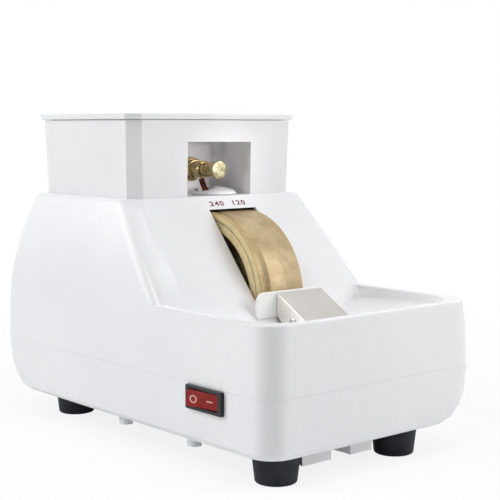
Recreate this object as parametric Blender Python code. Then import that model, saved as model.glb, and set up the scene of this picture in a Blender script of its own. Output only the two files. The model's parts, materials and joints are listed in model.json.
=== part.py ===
# Hand lens edger: a bench grinder for spectacle lenses, with a water tank above its wheel.
# Metres, +Z up. The tray is at the front, towards -Y, and the tank is at the back.
# The origin is on the surface that the feet stand on, below the middle of the whole machine.
# Places across are measured from the left wall, and places along from the front wall.

import math

import bmesh
import bpy
from mathutils import Vector

# Casing
right_room = 0.0564
foot_height = 0.0157
fit_gap = 0.0003
casing_wall = 0.0028
front_corner_radius = 0.0145
rear_corner_radius = 0.0075
lower_edge_radius = 0.0040
right_keel_radius = 0.0270
rear_keel_radius = 0.0310
keel_seam_gap = 0.0025
near_draw = 0.0135
right_draw = 0.0141
rear_draw = 0.0173
deck_edge_radius = 0.0026
cut_overrun = 0.006
near_draw_power = 2.2
right_draw_power = 1.8
rear_draw_power = 1.45
rear_draw_start_share = 0.36
body_level_shares = (0.12, 0.25, 0.38, 0.52, 0.66, 0.80, 0.91)
corner_steps = 5
keel_angles = (0, 14, 28, 44, 62, 90)

# Sloping front panel, with a broad rounded corner at its left and a small one at its right
slope_angle = math.radians(50.2)
slope_top_back = 0.1447
slope_left_radius = 0.014
slope_right_radius = 0.002
slope_corner_lap = 0.00015

# Tray in front of the wheel
rim_wall = 0.0050
tray_depth = 0.0160
tray_corner_radius = 0.024
tray_rear_corner_radius = 0.004
tray_rest_margin = 0.0103
tray_dish_inset_shares = (0, 0.015, 0.30, 0.70, 1.0)
tray_dish_shares = (1.0, 0.53, 0.38, 0.17, 0)
tray_front_lift_share = 0.45

# Wheel slot in the sloping panel
slot_left = 0.0712
slot_width = 0.0384
slot_sill = 0.0035
slot_top_drop = 0.0081

# Grinding wheel
wheel_radius = 0.053
wheel_floor_gap = 0.0126
wheel_deck_gap = 0.0096
wheel_slot_gap = 0.0017
bond_depth = 0.0039
fine_land_width = 0.0036
groove_width = 0.0047
groove_depth = 0.0019
fine_band_width = 0.0213
core_rim_wall = 0.0055
core_web_thickness = 0.008
web_right_room = 0.0195
core_hub_radius = 0.011
hub_right_room = 0.0222
core_hub_length = 0.0134
flange_radius = 0.016
flange_thickness = 0.003
wheel_nut_across_flats = 0.015
wheel_nut_thickness = 0.0048
wheel_steps = 52

# Splash chamber round the wheel
chamber_side_gap = 0.0003
chamber_wall = 0.002
chamber_front_gap = 0.0037
chamber_rear_gap = 0.0047
chamber_top_gap = 0.0029
seal_radius = 0.0117
seal_length = 0.0035
seal_stand_out = 0.0008

# Motor, left of the wheel and on the same axis
motor_radius = 0.0325
motor_slope_gap = 0.0037
motor_wall_room = 0.0155
shield_length = 0.008
shield_wall = 0.0025
shield_hub_radius = 0.014
shield_bore_radius = 0.006
stator_ring_depth = 0.0151
air_gap = 0.0005
winding_rim = 0.0045
winding_bore_share = 0.36
winding_length = 0.0044
motor_chamber_gap = 0.0104
bearing_radius = 0.011
bearing_width = 0.006
shaft_radius = 0.005
shaft_shoulder_radius = 0.007
shaft_journal_radius = 0.0042
shaft_end_chamfer = 0.0008

# Motor bracket
bracket_end_step = 0.0022
bracket_half_depth = 0.027
bracket_plate = 0.0025
bracket_top_drop = 0.0164

# Case screws, in lugs under the lower housing
case_screw_left = 0.0095
case_screw_right_room = 0.0290
case_screw_front = 0.0752
case_screw_rear = 0.143
lug_radius = 0.0042
lug_drop = 0.0051
case_boss_radius = 0.0040
post_half_width = 0.0035
post_top_drop = 0.0005
pilot_depth = 0.014
screw_shank_radius = 0.0017
screw_hole_radius = 0.0020
screw_head_radius = 0.0032
screw_head_height = 0.0022
screw_seat_radius = 0.0036
screw_seat_depth = 0.0032
screw_reach = 0.0105

# Feet
foot_top_radius = 0.0135
foot_bottom_radius = 0.01175
foot_edge_radius = 0.0015
foot_bore_radius = 0.0048
foot_bore_depth = 0.0085
foot_hole_radius = 0.0025
foot_left = 0.022
foot_right_room = 0.0515
foot_rear_left = 0.0285
foot_rear_right_room = 0.0550
foot_front_back = 0.0195
foot_front_right_back = 0.0190
foot_rear_room = 0.0430
foot_room_gap = 0.0009
foot_boss_radius = 0.0062
foot_boss_height = 0.0085
foot_screw_shank_radius = 0.0021
foot_screw_head_radius = 0.0042
foot_screw_head_height = 0.0026
foot_screw_reach = 0.0085

# Bottom cover
cover_left = 0.028
cover_right_gap = 0.0115
cover_front = 0.012
cover_rear_gap = 0.0035
cover_thickness = 0.0015
cover_block_drop = 0.0068
cover_block_depth = 0.0146
first_block_right = 0.0565
second_block_step = 0.0010
second_block_width = 0.0170
cover_screw_across = 0.058
cover_screw_front = 0.040
cover_screw_rear_gap = 0.012
cover_screw_length = 0.0065
cover_boss_height = 0.006

# Water tank and its lid
tank_left = 0.0197
tank_step = 0.0030
tank_right_room = 0.0201
tank_rear_room = 0.0249
tank_depth = 0.0994
tank_height = 0.0480
tank_flare = 0.00135
tank_front_left_cut = 0.0071
tank_corner_cut = 0.0015
tank_wall = 0.0025
lid_overhang = 0.0012
lid_flare = 0.0005
lid_thickness = 0.0039
lid_edge = 0.0005
lid_plug_depth = 0.0035
lid_plug_gap = 0.0004
lid_plug_wall = 0.002
lid_skin = 0.0022

# Recess in the front of the tank
recess_left_step = 0.0102
recess_width = 0.0520
recess_height = 0.0345
recess_depth = 0.0323
recess_corner_cut = 0.0053

# Water valve, whose axis runs along Y through the back wall of the recess
valve_from_slot = 0.0158
valve_rise = 0.0163
valve_thread_radius = 0.0047
valve_thread_length = 0.0105
valve_flange_radius = 0.0079
valve_flange_length = 0.0045
valve_shoulder_radius = 0.0065
valve_shoulder_length = 0.0033
valve_body_radius = 0.0054
valve_body_length = 0.0090
valve_collar_radius = 0.0059
valve_collar_length = 0.0019
valve_edge = 0.0005
valve_neck_radius = 0.0048
valve_neck_length = 0.0090
valve_hole_gap = 0.0003
valve_bore_radius = 0.0020
valve_stem_radius = 0.0016
valve_stem_seat_depth = 0.014
knob_gap = 0.0006
knob_length = 0.0062
knob_radius = 0.00625
knob_edge = 0.0009
knob_waist_radius = 0.0048
knob_waist_length = 0.0018
knob_bore_depth = 0.0045
locknut_across_flats = 0.0145
locknut_thickness = 0.004
spout_radius = 0.0019
spout_from_seat = 0.0135
spout_lean = 0.0058
spout_end_rise = 0.0022
spout_tip_lead = 0.0012

# Drip collar under the spout
collar_radius = 0.0150
collar_height = 0.0050
collar_bore_radius = 0.0046
collar_neck_radius = 0.0060
collar_neck_drop = 0.0072
collar_step = 0.0151
collar_gap = 0.0003
collar_right_step = 0.004
collar_funnel_radius = 0.0066
collar_funnel_rise = 0.0010

# Splash plate and lens rest
plate_left_step = 0.0063
plate_reach = 0.0078
plate_foot_rise = 0.0050
plate_thickness = 0.002
plate_wheel_gap = 0.00351
plate_top_step = 0.0008
plate_corner_radius = 0.006
rest_left_step = 0.0154
rest_rise = 0.0185
rest_angle = math.radians(30)
rest_nose_rise = 0.0034
rest_sheet = 0.0012
rest_toe_cut = 0.0045
lug_block_width = 0.005
lug_block_depth = 0.007
lug_block_height = 0.0058
rest_screw_step = 0.0150
rest_screw_rise = 0.0028
rest_screw_length = 0.0055
rest_screw_head_radius = 0.0020
rest_screw_head_height = 0.0015
rest_screw_shank_radius = 0.0012
rest_screw_hole_radius = 0.0015

# Rocker switch in the left wall
switch_back = 0.0525
switch_seam_drop = 0.0070
bezel_length = 0.0318
bezel_height = 0.0136
bezel_thickness = 0.0020
switch_body_length = 0.0270
switch_body_height = 0.0114
switch_body_depth = 0.0160
switch_pocket_wall = 0.0012
switch_pocket_depth = 0.0095
switch_pocket_length = 0.0250
rocker_length = 0.0240
rocker_gap = 0.0004
rocker_half_turn = math.radians(9)
rocker_pivot_depth = 0.0010
rocker_crown = 0.0030
rocker_wing_angle = math.radians(9)
rocker_depth = 0.0035
rocker_root_half = 0.0040

# Cable gland in the back wall
gland_across = 0.0420
gland_seam_drop = 0.0135
gland_pad_radius = 0.0110
gland_pad_depth = 0.0080
gland_thread_radius = 0.0060
gland_thread_length = 0.0120
gland_flange_radius = 0.0090
gland_flange_length = 0.0030
gland_dome_radius = 0.0080
gland_dome_length = 0.0090
gland_bore_radius = 0.0035

# Wiring parts on the floor
capacitor_gap = 0.0018
capacitor_front = 0.150
capacitor_radius = 0.0125
capacitor_length = 0.048
capacitor_edge = 0.0015
terminal_left = 0.036
terminal_front = 0.046
terminal_length = 0.030
terminal_depth = 0.016
terminal_height = 0.012
terminal_slot = 0.0035

# Drain spigot under the chamber
drain_back = 0.1180
drain_radius = 0.0050
drain_bore_radius = 0.0036
drain_flange_radius = 0.0080
drain_flange_thickness = 0.0015
drain_drop = 0.0080

# Heights that follow from the sizes above: the wheel sets how high the deck is
underside = foot_height + fit_gap
floor_top = underside + casing_wall
wheel_axis_height = floor_top + wheel_floor_gap + wheel_radius
deck_height = wheel_axis_height + wheel_radius + wheel_deck_gap
slot_top_height = deck_height - slot_top_drop
chamber_top_height = deck_height - casing_wall - chamber_top_gap
bracket_top_height = wheel_axis_height - bracket_top_drop
recess_top_height = deck_height + recess_height
valve_axis_height = deck_height + valve_rise
seam_height = underside + rear_keel_radius + keel_seam_gap
switch_height = seam_height - switch_seam_drop
gland_height = seam_height - gland_seam_drop

# Places across: the motor, the wheel and the room at its right set how wide the machine is
body_width = slot_left + slot_width + right_room
wheel_width = slot_width - wheel_slot_gap * 2
core_web_left = wheel_width - web_right_room
core_hub_left = wheel_width - hub_right_room
stator_length = (slot_left - chamber_side_gap - chamber_wall - motor_chamber_gap
                 - (shield_length + fit_gap) * 2 - motor_wall_room)
bracket_length = stator_length - bracket_end_step * 2
winding_outer_radius = motor_radius - winding_rim
stator_bore_radius = motor_radius - stator_ring_depth
winding_inner_radius = shield_hub_radius + (winding_outer_radius - shield_hub_radius) * winding_bore_share
case_screw_right = body_width - case_screw_right_room
foot_right = body_width - foot_right_room
foot_rear_right = body_width - foot_rear_right_room
cover_right = foot_right - foot_top_radius - cover_right_gap
second_block_right = cover_right - second_block_step
second_block_left = second_block_right - second_block_width
tank_width = body_width - tank_left - tank_right_room
recess_left = slot_left - recess_left_step
recess_right = recess_left + recess_width
valve_across = slot_left + valve_from_slot
plate_left = slot_left - plate_left_step
plate_right = slot_left + slot_width + plate_reach
rest_left = plate_left + rest_left_step
capacitor_across = slot_left + slot_width + chamber_side_gap + chamber_wall + capacitor_gap + capacitor_radius
tray_dish_reach = body_width - plate_right - rim_wall - tray_rest_margin

# Places along: the sloping panel stands clear of the motor, and the tank behind it sets the length
slope_axis_distance = motor_radius + casing_wall + motor_slope_gap
slope_axis_rise = deck_height - wheel_axis_height
wheel_axis_back = (slope_top_back + (slope_axis_distance - slope_axis_rise * math.cos(slope_angle))
                   / math.sin(slope_angle))
tank_front = slope_top_back + tank_step
body_length = tank_front + tank_depth + tank_rear_room
recess_back = tank_front + recess_depth
collar_back = tank_front + collar_step
chamber_front_back = wheel_axis_back - wheel_radius - chamber_front_gap
chamber_rear_back = wheel_axis_back + wheel_radius + chamber_rear_gap
foot_rear_back = body_length - foot_rear_room
cover_rear = foot_rear_back - foot_top_radius - cover_rear_gap
cover_screw_fronts = (cover_screw_front, cover_rear - cover_screw_rear_gap)
plate_back = wheel_axis_back - wheel_radius - plate_wheel_gap
plate_front = plate_back - plate_thickness
rest_screw_back = plate_front - rest_screw_step

# Heights in the tray: its floor lies below the place where the splash plate meets the slope
plate_foot_height = deck_height - (slope_top_back - plate_back) * math.tan(slope_angle)
tray_floor_height = plate_foot_height - plate_foot_rise
rim_height = tray_floor_height + tray_depth
slot_bottom_height = tray_floor_height + slot_sill
post_top_height = tray_floor_height - post_top_drop
rest_top_height = tray_floor_height + rest_rise
rest_nose_height = tray_floor_height + rest_nose_rise
plate_top_height = rest_top_height + plate_top_step

# Other places that follow
rocker_peak = rocker_crown + rocker_pivot_depth
rocker_wing = rocker_peak - rocker_length * math.tan(rocker_wing_angle) / 4
rocker_stand_out = rocker_wing * math.cos(rocker_half_turn) + rocker_length * math.sin(rocker_half_turn) / 2
switch_stand_out = fit_gap + bezel_thickness - rocker_pivot_depth + rocker_stand_out
gland_stand_out = gland_flange_length + gland_dome_length + fit_gap
left_x = (switch_stand_out - body_width) / 2
front_y = -(gland_stand_out + body_length) / 2
right_x = left_x + body_width
back_y = front_y + body_length
upper_bottom = seam_height + fit_gap
wheel_x = left_x + slot_left + slot_width / 2
wheel_y = front_y + wheel_axis_back
wheel_left = wheel_x - wheel_width / 2
chamber_left = left_x + slot_left - chamber_side_gap - chamber_wall
chamber_right = left_x + slot_left + slot_width + chamber_side_gap + chamber_wall
chamber_floor = floor_top + fit_gap
tank_bottom = deck_height + fit_gap
tank_top = tank_bottom + tank_height
valve_seat_y = front_y + recess_back - fit_gap
valve_x = left_x + valve_across
spout_tip_y = valve_seat_y - spout_from_seat - spout_lean
drip_y = spout_tip_y + spout_tip_lead


def clear_scene():
    for item in list(bpy.data.objects):
        bpy.data.objects.remove(item, do_unlink=True)


def make_material(name, colour, roughness, metallic=0.0):
    material = bpy.data.materials.new(name)
    material.use_nodes = True
    shader = material.node_tree.nodes["Principled BSDF"]
    shader.inputs["Base Color"].default_value = (*colour, 1.0)
    shader.inputs["Roughness"].default_value = roughness
    shader.inputs["Metallic"].default_value = metallic
    return material


def add_object(name, mesh, finish=None):
    piece = bpy.data.objects.new(name, mesh)
    bpy.context.scene.collection.objects.link(piece)
    if finish is None:
        piece.hide_render = True
        piece.display_type = "WIRE"
    else:
        colour, roughness, metallic = finish
        piece.data.materials.append(make_material(name, colour, roughness, metallic))
    return piece


def finish_mesh(name, shape, finish):
    bmesh.ops.recalc_face_normals(shape, faces=shape.faces)
    mesh = bpy.data.meshes.new(name)
    shape.to_mesh(mesh)
    shape.free()
    mesh.shade_smooth()
    mesh.set_sharp_from_angle(angle=math.radians(32))
    return add_object(name, mesh, finish)


# A closed skin through rings that all have as many points
def loft(name, rings, finish=None):
    shape = bmesh.new()
    loops = [[shape.verts.new(point) for point in ring] for ring in rings]
    count = len(rings[0])
    for lower, upper in zip(loops, loops[1:]):
        for index in range(count):
            after = (index + 1) % count
            shape.faces.new((lower[index], lower[after], upper[after], upper[index]))
    shape.faces.new(list(reversed(loops[0])))
    shape.faces.new(loops[-1])
    return finish_mesh(name, shape, finish)


# A flat outline pushed along one axis. The outline's points lie in the other two, in order
def prism(name, outline, axis, start, end, finish=None):
    rings = []
    for place in (start, end):
        ring = []
        for first, second in outline:
            if axis == "X":
                ring.append(Vector((place, first, second)))
            elif axis == "Y":
                ring.append(Vector((first, place, second)))
            else:
                ring.append(Vector((first, second, place)))
        rings.append(ring)
    return loft(name, rings, finish)


def box(name, low, high, finish=None):
    outline = [(low[0], low[1]), (high[0], low[1]), (high[0], high[1]), (low[0], high[1])]
    return prism(name, outline, "Z", low[2], high[2], finish)


# A closed outline of (along, radius) points turned once about an axis through a centre
def turned(name, outline, axis, centre, steps, finish=None):
    direction = {"X": Vector((1, 0, 0)), "Y": Vector((0, 1, 0)), "Z": Vector((0, 0, 1))}[axis]
    across = {"X": Vector((0, 0, 1)), "Y": Vector((1, 0, 0)), "Z": Vector((1, 0, 0))}[axis]
    middle = Vector(centre)
    shape = bmesh.new()
    points = [shape.verts.new(middle + direction * along + across * radius) for along, radius in outline]
    edges = []
    for index, point in enumerate(points):
        after = points[(index + 1) % len(points)]
        on_axis = outline[index][1] == 0 and outline[(index + 1) % len(points)][1] == 0
        if not on_axis:
            edges.append(shape.edges.new((point, after)))
    bmesh.ops.spin(shape, geom=points + edges, cent=middle, axis=direction,
                   angle=math.tau, steps=steps, use_merge=True)
    smallest = max(radius for along, radius in outline) * 0.001
    bmesh.ops.remove_doubles(shape, verts=shape.verts, dist=smallest)
    return finish_mesh(name, shape, finish)


def cylinder(name, axis, centre, radius, start, end, steps, finish=None):
    outline = [(start, 0), (start, radius), (end, radius), (end, 0)]
    return turned(name, outline, axis, centre, steps, finish)


def boolean(piece, other, operation):
    change = piece.modifiers.new(other.name, "BOOLEAN")
    change.operation = operation
    change.object = other
    change.solver = "EXACT"


def cut(piece, *cutters):
    for cutter in cutters:
        boolean(piece, cutter, "DIFFERENCE")


def add(piece, *others):
    for other in others:
        boolean(piece, other, "UNION")


# Several cutters or bosses that don't touch each other, as one mesh, so that one Boolean does them all
def merged(name, pieces):
    shape = bmesh.new()
    for piece in pieces:
        shape.from_mesh(piece.data)
        bpy.data.objects.remove(piece, do_unlink=True)
    mesh = bpy.data.meshes.new(name)
    shape.to_mesh(mesh)
    shape.free()
    return add_object(name, mesh)


def hexagon(centre, across_flats):
    radius = across_flats / math.sqrt(3)
    corners = [math.radians(60 * index) for index in range(6)]
    return [(centre[0] + radius * math.cos(turn), centre[1] + radius * math.sin(turn)) for turn in corners]


def rounded_section(low_x, high_x, low_y, high_y, front_radius, rear_radius, height):
    corners = (
        (high_x - front_radius, low_y + front_radius, front_radius, -90),
        (high_x - rear_radius, high_y - rear_radius, rear_radius, 0),
        (low_x + rear_radius, high_y - rear_radius, rear_radius, 90),
        (low_x + front_radius, low_y + front_radius, front_radius, 180),
    )
    ring = []
    for middle_x, middle_y, radius, first in corners:
        for step in range(corner_steps + 1):
            turn = math.radians(first + 90 * step / corner_steps)
            across = middle_x + radius * math.cos(turn)
            ring.append(Vector((across, middle_y + radius * math.sin(turn), height)))
    return ring


# How far a rounded lower edge has drawn in at a height above the underside
def edge_draw(rise, radius):
    if rise >= radius:
        return 0
    return radius - math.sqrt(radius**2 - (radius - max(rise, 0)) ** 2)


# The casing's left, right, front and back at one height, an inset inside its skin.
# Above the seam the left and front walls draw in alike, and the right and rear walls further
def casing_extents(height, inset):
    share = max(height - seam_height, 0) / (deck_height - seam_height)
    rear_share = max(share - rear_draw_start_share, 0) / (1 - rear_draw_start_share)
    rise = height - underside - inset
    near = inset + edge_draw(rise, lower_edge_radius - inset) + near_draw * share**near_draw_power
    right = inset + edge_draw(rise, right_keel_radius - inset) + right_draw * share**right_draw_power
    rear = inset + edge_draw(rise, rear_keel_radius - inset) + rear_draw * rear_share**rear_draw_power
    return left_x + near, right_x - right, front_y + near, back_y - rear


def casing_ring(height, inset, extra=0):
    low_x, high_x, low_y, high_y = casing_extents(height, inset)
    return rounded_section(low_x + extra, high_x - extra, low_y + extra, high_y - extra,
                           front_corner_radius - inset, rear_corner_radius - inset, height)


def slope_y(height, inset=0):
    run = (deck_height - height) / math.tan(slope_angle)
    return front_y + slope_top_back - run + inset / math.sin(slope_angle)


# What stands open above the tray and in front of the sloping panel, an inset inside the skin
def front_void_ring(height, inset):
    low_x, high_x, low_y, high_y = casing_extents(height, inset)
    edge = slope_y(height, inset)
    left = slope_left_radius - inset
    right = max(slope_right_radius - inset, fit_gap)
    low_x -= slope_corner_lap
    high_x += slope_corner_lap
    ring = [
        Vector((low_x - cut_overrun, front_y - cut_overrun, height)),
        Vector((high_x + cut_overrun, front_y - cut_overrun, height)),
        Vector((high_x + cut_overrun, edge + right, height)),
    ]
    for middle_x, radius, first in ((high_x - right, right, 0), (low_x + left, left, -90)):
        for step in range(corner_steps + 1):
            turn = math.radians(first - 90 * step / corner_steps)
            across = middle_x + radius * math.cos(turn)
            ring.append(Vector((across, edge + radius + radius * math.sin(turn), height)))
    ring.append(Vector((low_x - cut_overrun, edge + left, height)))
    return ring


def body_levels(bottom, top):
    span = deck_height - seam_height
    between = [seam_height + span * share for share in body_level_shares]
    return [bottom] + [level for level in between if bottom < level < top] + [top]


white = ((0.86, 0.87, 0.89), 0.32, 0.0)
pale_grey = ((0.62, 0.61, 0.59), 0.4, 0.0)
black_plastic = ((0.02, 0.02, 0.022), 0.45, 0.0)
black_rubber = ((0.055, 0.055, 0.065), 0.75, 0.0)
steel = ((0.62, 0.62, 0.63), 0.3, 1.0)
aluminium = ((0.72, 0.72, 0.73), 0.35, 1.0)
brass = ((0.72, 0.55, 0.22), 0.25, 1.0)
copper = ((0.30, 0.12, 0.06), 0.4, 1.0)
bond = ((0.46, 0.34, 0.16), 0.5, 0.6)
coarse_bond = ((0.40, 0.28, 0.13), 0.6, 0.6)
lamination = ((0.25, 0.25, 0.27), 0.5, 1.0)
red = ((0.62, 0.07, 0.05), 0.35, 0.0)
beige = ((0.75, 0.72, 0.62), 0.5, 0.0)

case_screw_places = [
    (left_x + across, front_y + along)
    for across in (case_screw_left, case_screw_right)
    for along in (case_screw_front, case_screw_rear)
]
foot_places = {
    "front_left": (left_x + foot_left, front_y + foot_front_back),
    "front_right": (left_x + foot_right, front_y + foot_front_right_back),
    "rear_left": (left_x + foot_rear_left, front_y + foot_rear_back),
    "rear_right": (left_x + foot_rear_right, front_y + foot_rear_back),
}


# The tray's floor rises gently to its walls, more at the front than at the back
def make_tray_basin():
    low_x, high_x, low_y, high_y = casing_extents(rim_height, 0)
    depth = rim_height - tray_floor_height
    levels = [(rim_height + cut_overrun, 0, 0)]
    for share, inset_share in zip(tray_dish_shares, tray_dish_inset_shares):
        lift = 0
        if share < 1:
            lift = depth * share * tray_front_lift_share
        levels.append((tray_floor_height + depth * share, tray_dish_reach * inset_share, lift))
    rings = []
    for height, inset, lift in reversed(levels):
        reach = rim_wall + inset
        front = low_y + reach
        back = slope_y(min(height, rim_height))
        ring = rounded_section(low_x + reach, high_x - reach, front, back,
                               tray_corner_radius, tray_rear_corner_radius, height)
        for point in ring:
            point.z += lift * (back - point.y) / (back - front)
        rings.append(ring)
    return loft("tray_basin_cutter", rings)


def make_upper_housing():
    levels = body_levels(upper_bottom, deck_height - deck_edge_radius)
    rings = [casing_ring(level, 0) for level in levels]
    for step in range(1, 4):
        turn = math.radians(30 * step)
        height = deck_height - deck_edge_radius + deck_edge_radius * math.sin(turn)
        rings.append(casing_ring(height, 0, deck_edge_radius * (1 - math.cos(turn))))
    housing = loft("upper_housing", rings, white)

    void_levels = body_levels(rim_height, deck_height + cut_overrun)
    void = loft("front_void_cutter", [front_void_ring(level, 0) for level in void_levels])
    basin = make_tray_basin()

    cavity_top = deck_height - casing_wall
    cavity_levels = body_levels(upper_bottom - cut_overrun, cavity_top)
    cavity = loft("upper_cavity_cutter", [casing_ring(level, casing_wall) for level in cavity_levels])
    inner_levels = body_levels(tray_floor_height - casing_wall, deck_height + cut_overrun)
    inner_void = loft("inner_void_cutter", [front_void_ring(level, casing_wall) for level in inner_levels])
    posts = []
    for index, (across, along) in enumerate(case_screw_places):
        low_across = across - post_half_width
        if across < wheel_x:
            low_across = left_x
        top = post_top_height
        if across > wheel_x and along > wheel_y - wheel_radius:
            top = deck_height - casing_wall / 2
        posts.append(box(f"post_{index}",
                         (low_across, along - post_half_width, upper_bottom - cut_overrun * 2),
                         (across + post_half_width, along + post_half_width, top)))
    cut(cavity, inner_void, merged("post_cutters", posts))
    cut(housing, void, basin, cavity)

    slot_low = (left_x + slot_left, slope_y(slot_bottom_height) - cut_overrun, slot_bottom_height)
    slot_high = (slot_low[0] + slot_width, slope_y(slot_top_height) + cut_overrun * 2, slot_top_height)
    slot = box("slot_cutter", slot_low, slot_high)
    drip_hole = cylinder("drip_hole_cutter", "Z", (valve_x, drip_y, deck_height),
                         collar_neck_radius + collar_gap, -casing_wall - cut_overrun, cut_overrun, 20)
    holes = [slot, drip_hole]
    for index, (across, along) in enumerate(case_screw_places):
        holes.append(cylinder(f"pilot_{index}", "Z", (across, along, upper_bottom), screw_hole_radius,
                              -cut_overrun, pilot_depth, 12))
    cut(housing, merged("housing_hole_cutters", holes))
    lugs = []
    for side, lug_low in rest_lug_places().items():
        floor = tray_floor_height - casing_wall / 2
        lugs.append(box(f"lug_{side}", (lug_low, front_y + rest_screw_back - lug_block_depth / 2, floor),
                        (lug_low + lug_block_width, front_y + rest_screw_back + lug_block_depth / 2,
                         tray_floor_height + lug_block_height)))
    add(housing, merged("rest_lugs", lugs))
    middle = left_x + (rest_left + plate_right) / 2
    half = (plate_right - rest_left) / 2 + cut_overrun
    screw_line = (middle, front_y + rest_screw_back, tray_floor_height + rest_screw_rise)
    lug_bore = cylinder("lug_bore_cutter", "X", screw_line, rest_screw_hole_radius, -half, half, 12)
    cut(housing, lug_bore)
    return housing


# The lens rest is screwed sideways to two moulded lugs, one inside each of its side plates
def rest_lug_places():
    low = left_x + rest_left + rest_sheet + fit_gap
    high = left_x + plate_right - rest_sheet - fit_gap - lug_block_width
    return {"left": low, "right": high}


def make_lower_housing():
    levels = [underside + rear_keel_radius * (1 - math.cos(math.radians(turn))) for turn in keel_angles]
    levels.append(seam_height)
    housing = loft("lower_housing", [casing_ring(level, 0) for level in levels], white)
    inner_radius = rear_keel_radius - casing_wall
    inner_levels = [floor_top + inner_radius * (1 - math.cos(math.radians(turn))) for turn in keel_angles]
    inner_levels.append(seam_height + cut_overrun)
    inside = loft("lower_cavity_cutter", [casing_ring(level, casing_wall) for level in inner_levels])
    cut(housing, inside)

    middle = casing_wall / 2
    top = seam_height - underside
    lug = [(-lug_drop, 0), (-lug_drop, lug_radius), (middle, lug_radius), (middle, case_boss_radius),
           (top, case_boss_radius), (top, 0)]
    start = -lug_drop - cut_overrun
    seat = screw_seat_depth - lug_drop
    hole = [(start, 0), (start, screw_seat_radius), (seat, screw_seat_radius), (seat, screw_hole_radius),
            (top + cut_overrun, screw_hole_radius), (top + cut_overrun, 0)]
    bosses = []
    holes = []
    for index, (across, along) in enumerate(case_screw_places):
        place = (across, along, underside)
        bosses.append(turned(f"case_boss_{index}", lug, "Z", place, 16))
        holes.append(turned(f"case_hole_{index}", hole, "Z", place, 12))
    foot_top = casing_wall + foot_boss_height
    for name, (across, along) in foot_places.items():
        place = (across, along, underside)
        bosses.append(cylinder(f"foot_boss_{name}", "Z", place, foot_boss_radius, middle, foot_top, 16))
        holes.append(cylinder(f"foot_hole_{name}", "Z", place, foot_hole_radius,
                              -cut_overrun, foot_top + cut_overrun, 12))
    cover_top = casing_wall + cover_boss_height
    for index, along in enumerate(cover_screw_fronts):
        place = (left_x + cover_screw_across, front_y + along, underside)
        bosses.append(cylinder(f"cover_boss_{index}", "Z", place, case_boss_radius, middle, cover_top, 12))
        holes.append(cylinder(f"cover_hole_{index}", "Z", place, screw_hole_radius,
                              -cut_overrun, cover_top + cut_overrun, 10))
    gland_place = (left_x + gland_across, back_y, gland_height)
    bosses.append(cylinder("gland_pad", "Y", gland_place, gland_pad_radius, -gland_pad_depth, -fit_gap, 20))
    holes.append(cylinder("gland_hole", "Y", gland_place, gland_thread_radius + fit_gap,
                          -gland_pad_depth - cut_overrun, cut_overrun, 20))
    holes.append(cylinder("drain_hole", "Z", (wheel_x, front_y + drain_back, underside),
                          drain_radius + fit_gap, -cut_overrun, cut_overrun, 20))
    half_length = switch_body_length / 2 + fit_gap
    half_height = switch_body_height / 2 + fit_gap
    middle_y = front_y + switch_back
    holes.append(box("switch_window",
                     (left_x - cut_overrun, middle_y - half_length, switch_height - half_height),
                     (left_x + cut_overrun, middle_y + half_length, switch_height + half_height)))
    add(housing, merged("lower_bosses", bosses))
    cut(housing, merged("lower_hole_cutters", holes))


def make_bottom_cover():
    top = underside - fit_gap
    bottom = top - cover_thickness
    low_y = front_y + cover_front
    cover = box("bottom_cover", (left_x + cover_left, low_y, bottom),
                (left_x + cover_right, front_y + cover_rear, top), pale_grey)
    spans = ((cover_left, first_block_right), (second_block_left, second_block_right))
    for index, (low, high) in enumerate(spans):
        block = box(f"cover_block_{index}", (left_x + low, low_y, bottom - cover_block_drop),
                    (left_x + high, low_y + cover_block_depth, bottom + cover_thickness / 2))
        add(cover, block)
    across, along = foot_places["front_left"]
    foot_room = cylinder("cover_foot_cutter", "Z", (across, along, 0), foot_top_radius + foot_room_gap,
                         0, underside + cut_overrun, 32)
    drain_room = cylinder("cover_drain_cutter", "Z", (wheel_x, front_y + drain_back, 0),
                          drain_radius + chamber_wall, 0, underside + cut_overrun, 24)
    cut(cover, foot_room, drain_room)
    for index, along in enumerate(cover_screw_fronts):
        place = (left_x + cover_screw_across, front_y + along, bottom)
        hole = cylinder(f"cover_screw_hole_{index}", "Z", place, screw_hole_radius,
                        -cut_overrun, cut_overrun, 16)
        cut(cover, hole)
        make_screw(f"cover_screw_{index + 1}", "Z", (place[0], place[1], bottom - fit_gap), 1,
                   screw_head_radius, screw_head_height, screw_shank_radius, cover_screw_length)


# A pan head and its shank. The shank points along the axis from the face under the head
def make_screw(name, axis, seat, way, head_radius, head_height, shank_radius, length):
    edge = head_height * 0.4
    outline = [
        (-head_height * way, 0),
        (-head_height * way, head_radius - edge),
        (-(head_height - edge) * way, head_radius),
        (0, head_radius),
        (0, shank_radius),
        (length * way, shank_radius),
        (length * way, 0),
    ]
    turned(name, outline, axis, seat, 12, steel)


def make_case_screws():
    for index, (across, along) in enumerate(case_screw_places):
        seat = underside - lug_drop + screw_seat_depth - fit_gap
        length = seam_height + screw_reach - seat
        make_screw(f"case_screw_{index + 1}", "Z", (across, along, seat), 1,
                   screw_head_radius, screw_head_height, screw_shank_radius, length)


def make_feet():
    for name, (across, along) in foot_places.items():
        round_in = foot_edge_radius * (1 - math.cos(math.radians(45)))
        outline = [
            (0, foot_bore_radius),
            (0, foot_bottom_radius - foot_edge_radius),
            (round_in, foot_bottom_radius - round_in),
            (foot_edge_radius, foot_bottom_radius),
            (foot_height, foot_top_radius),
            (foot_height, foot_hole_radius),
            (foot_bore_depth, foot_hole_radius),
            (foot_bore_depth, foot_bore_radius),
        ]
        turned(f"foot_{name}", outline, "Z", (across, along, 0), 24, black_rubber)
        seat = foot_bore_depth - fit_gap
        make_screw(f"foot_screw_{name}", "Z", (across, along, seat), 1, foot_screw_head_radius,
                   foot_screw_head_height, foot_screw_shank_radius,
                   underside + foot_screw_reach - seat)


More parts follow.
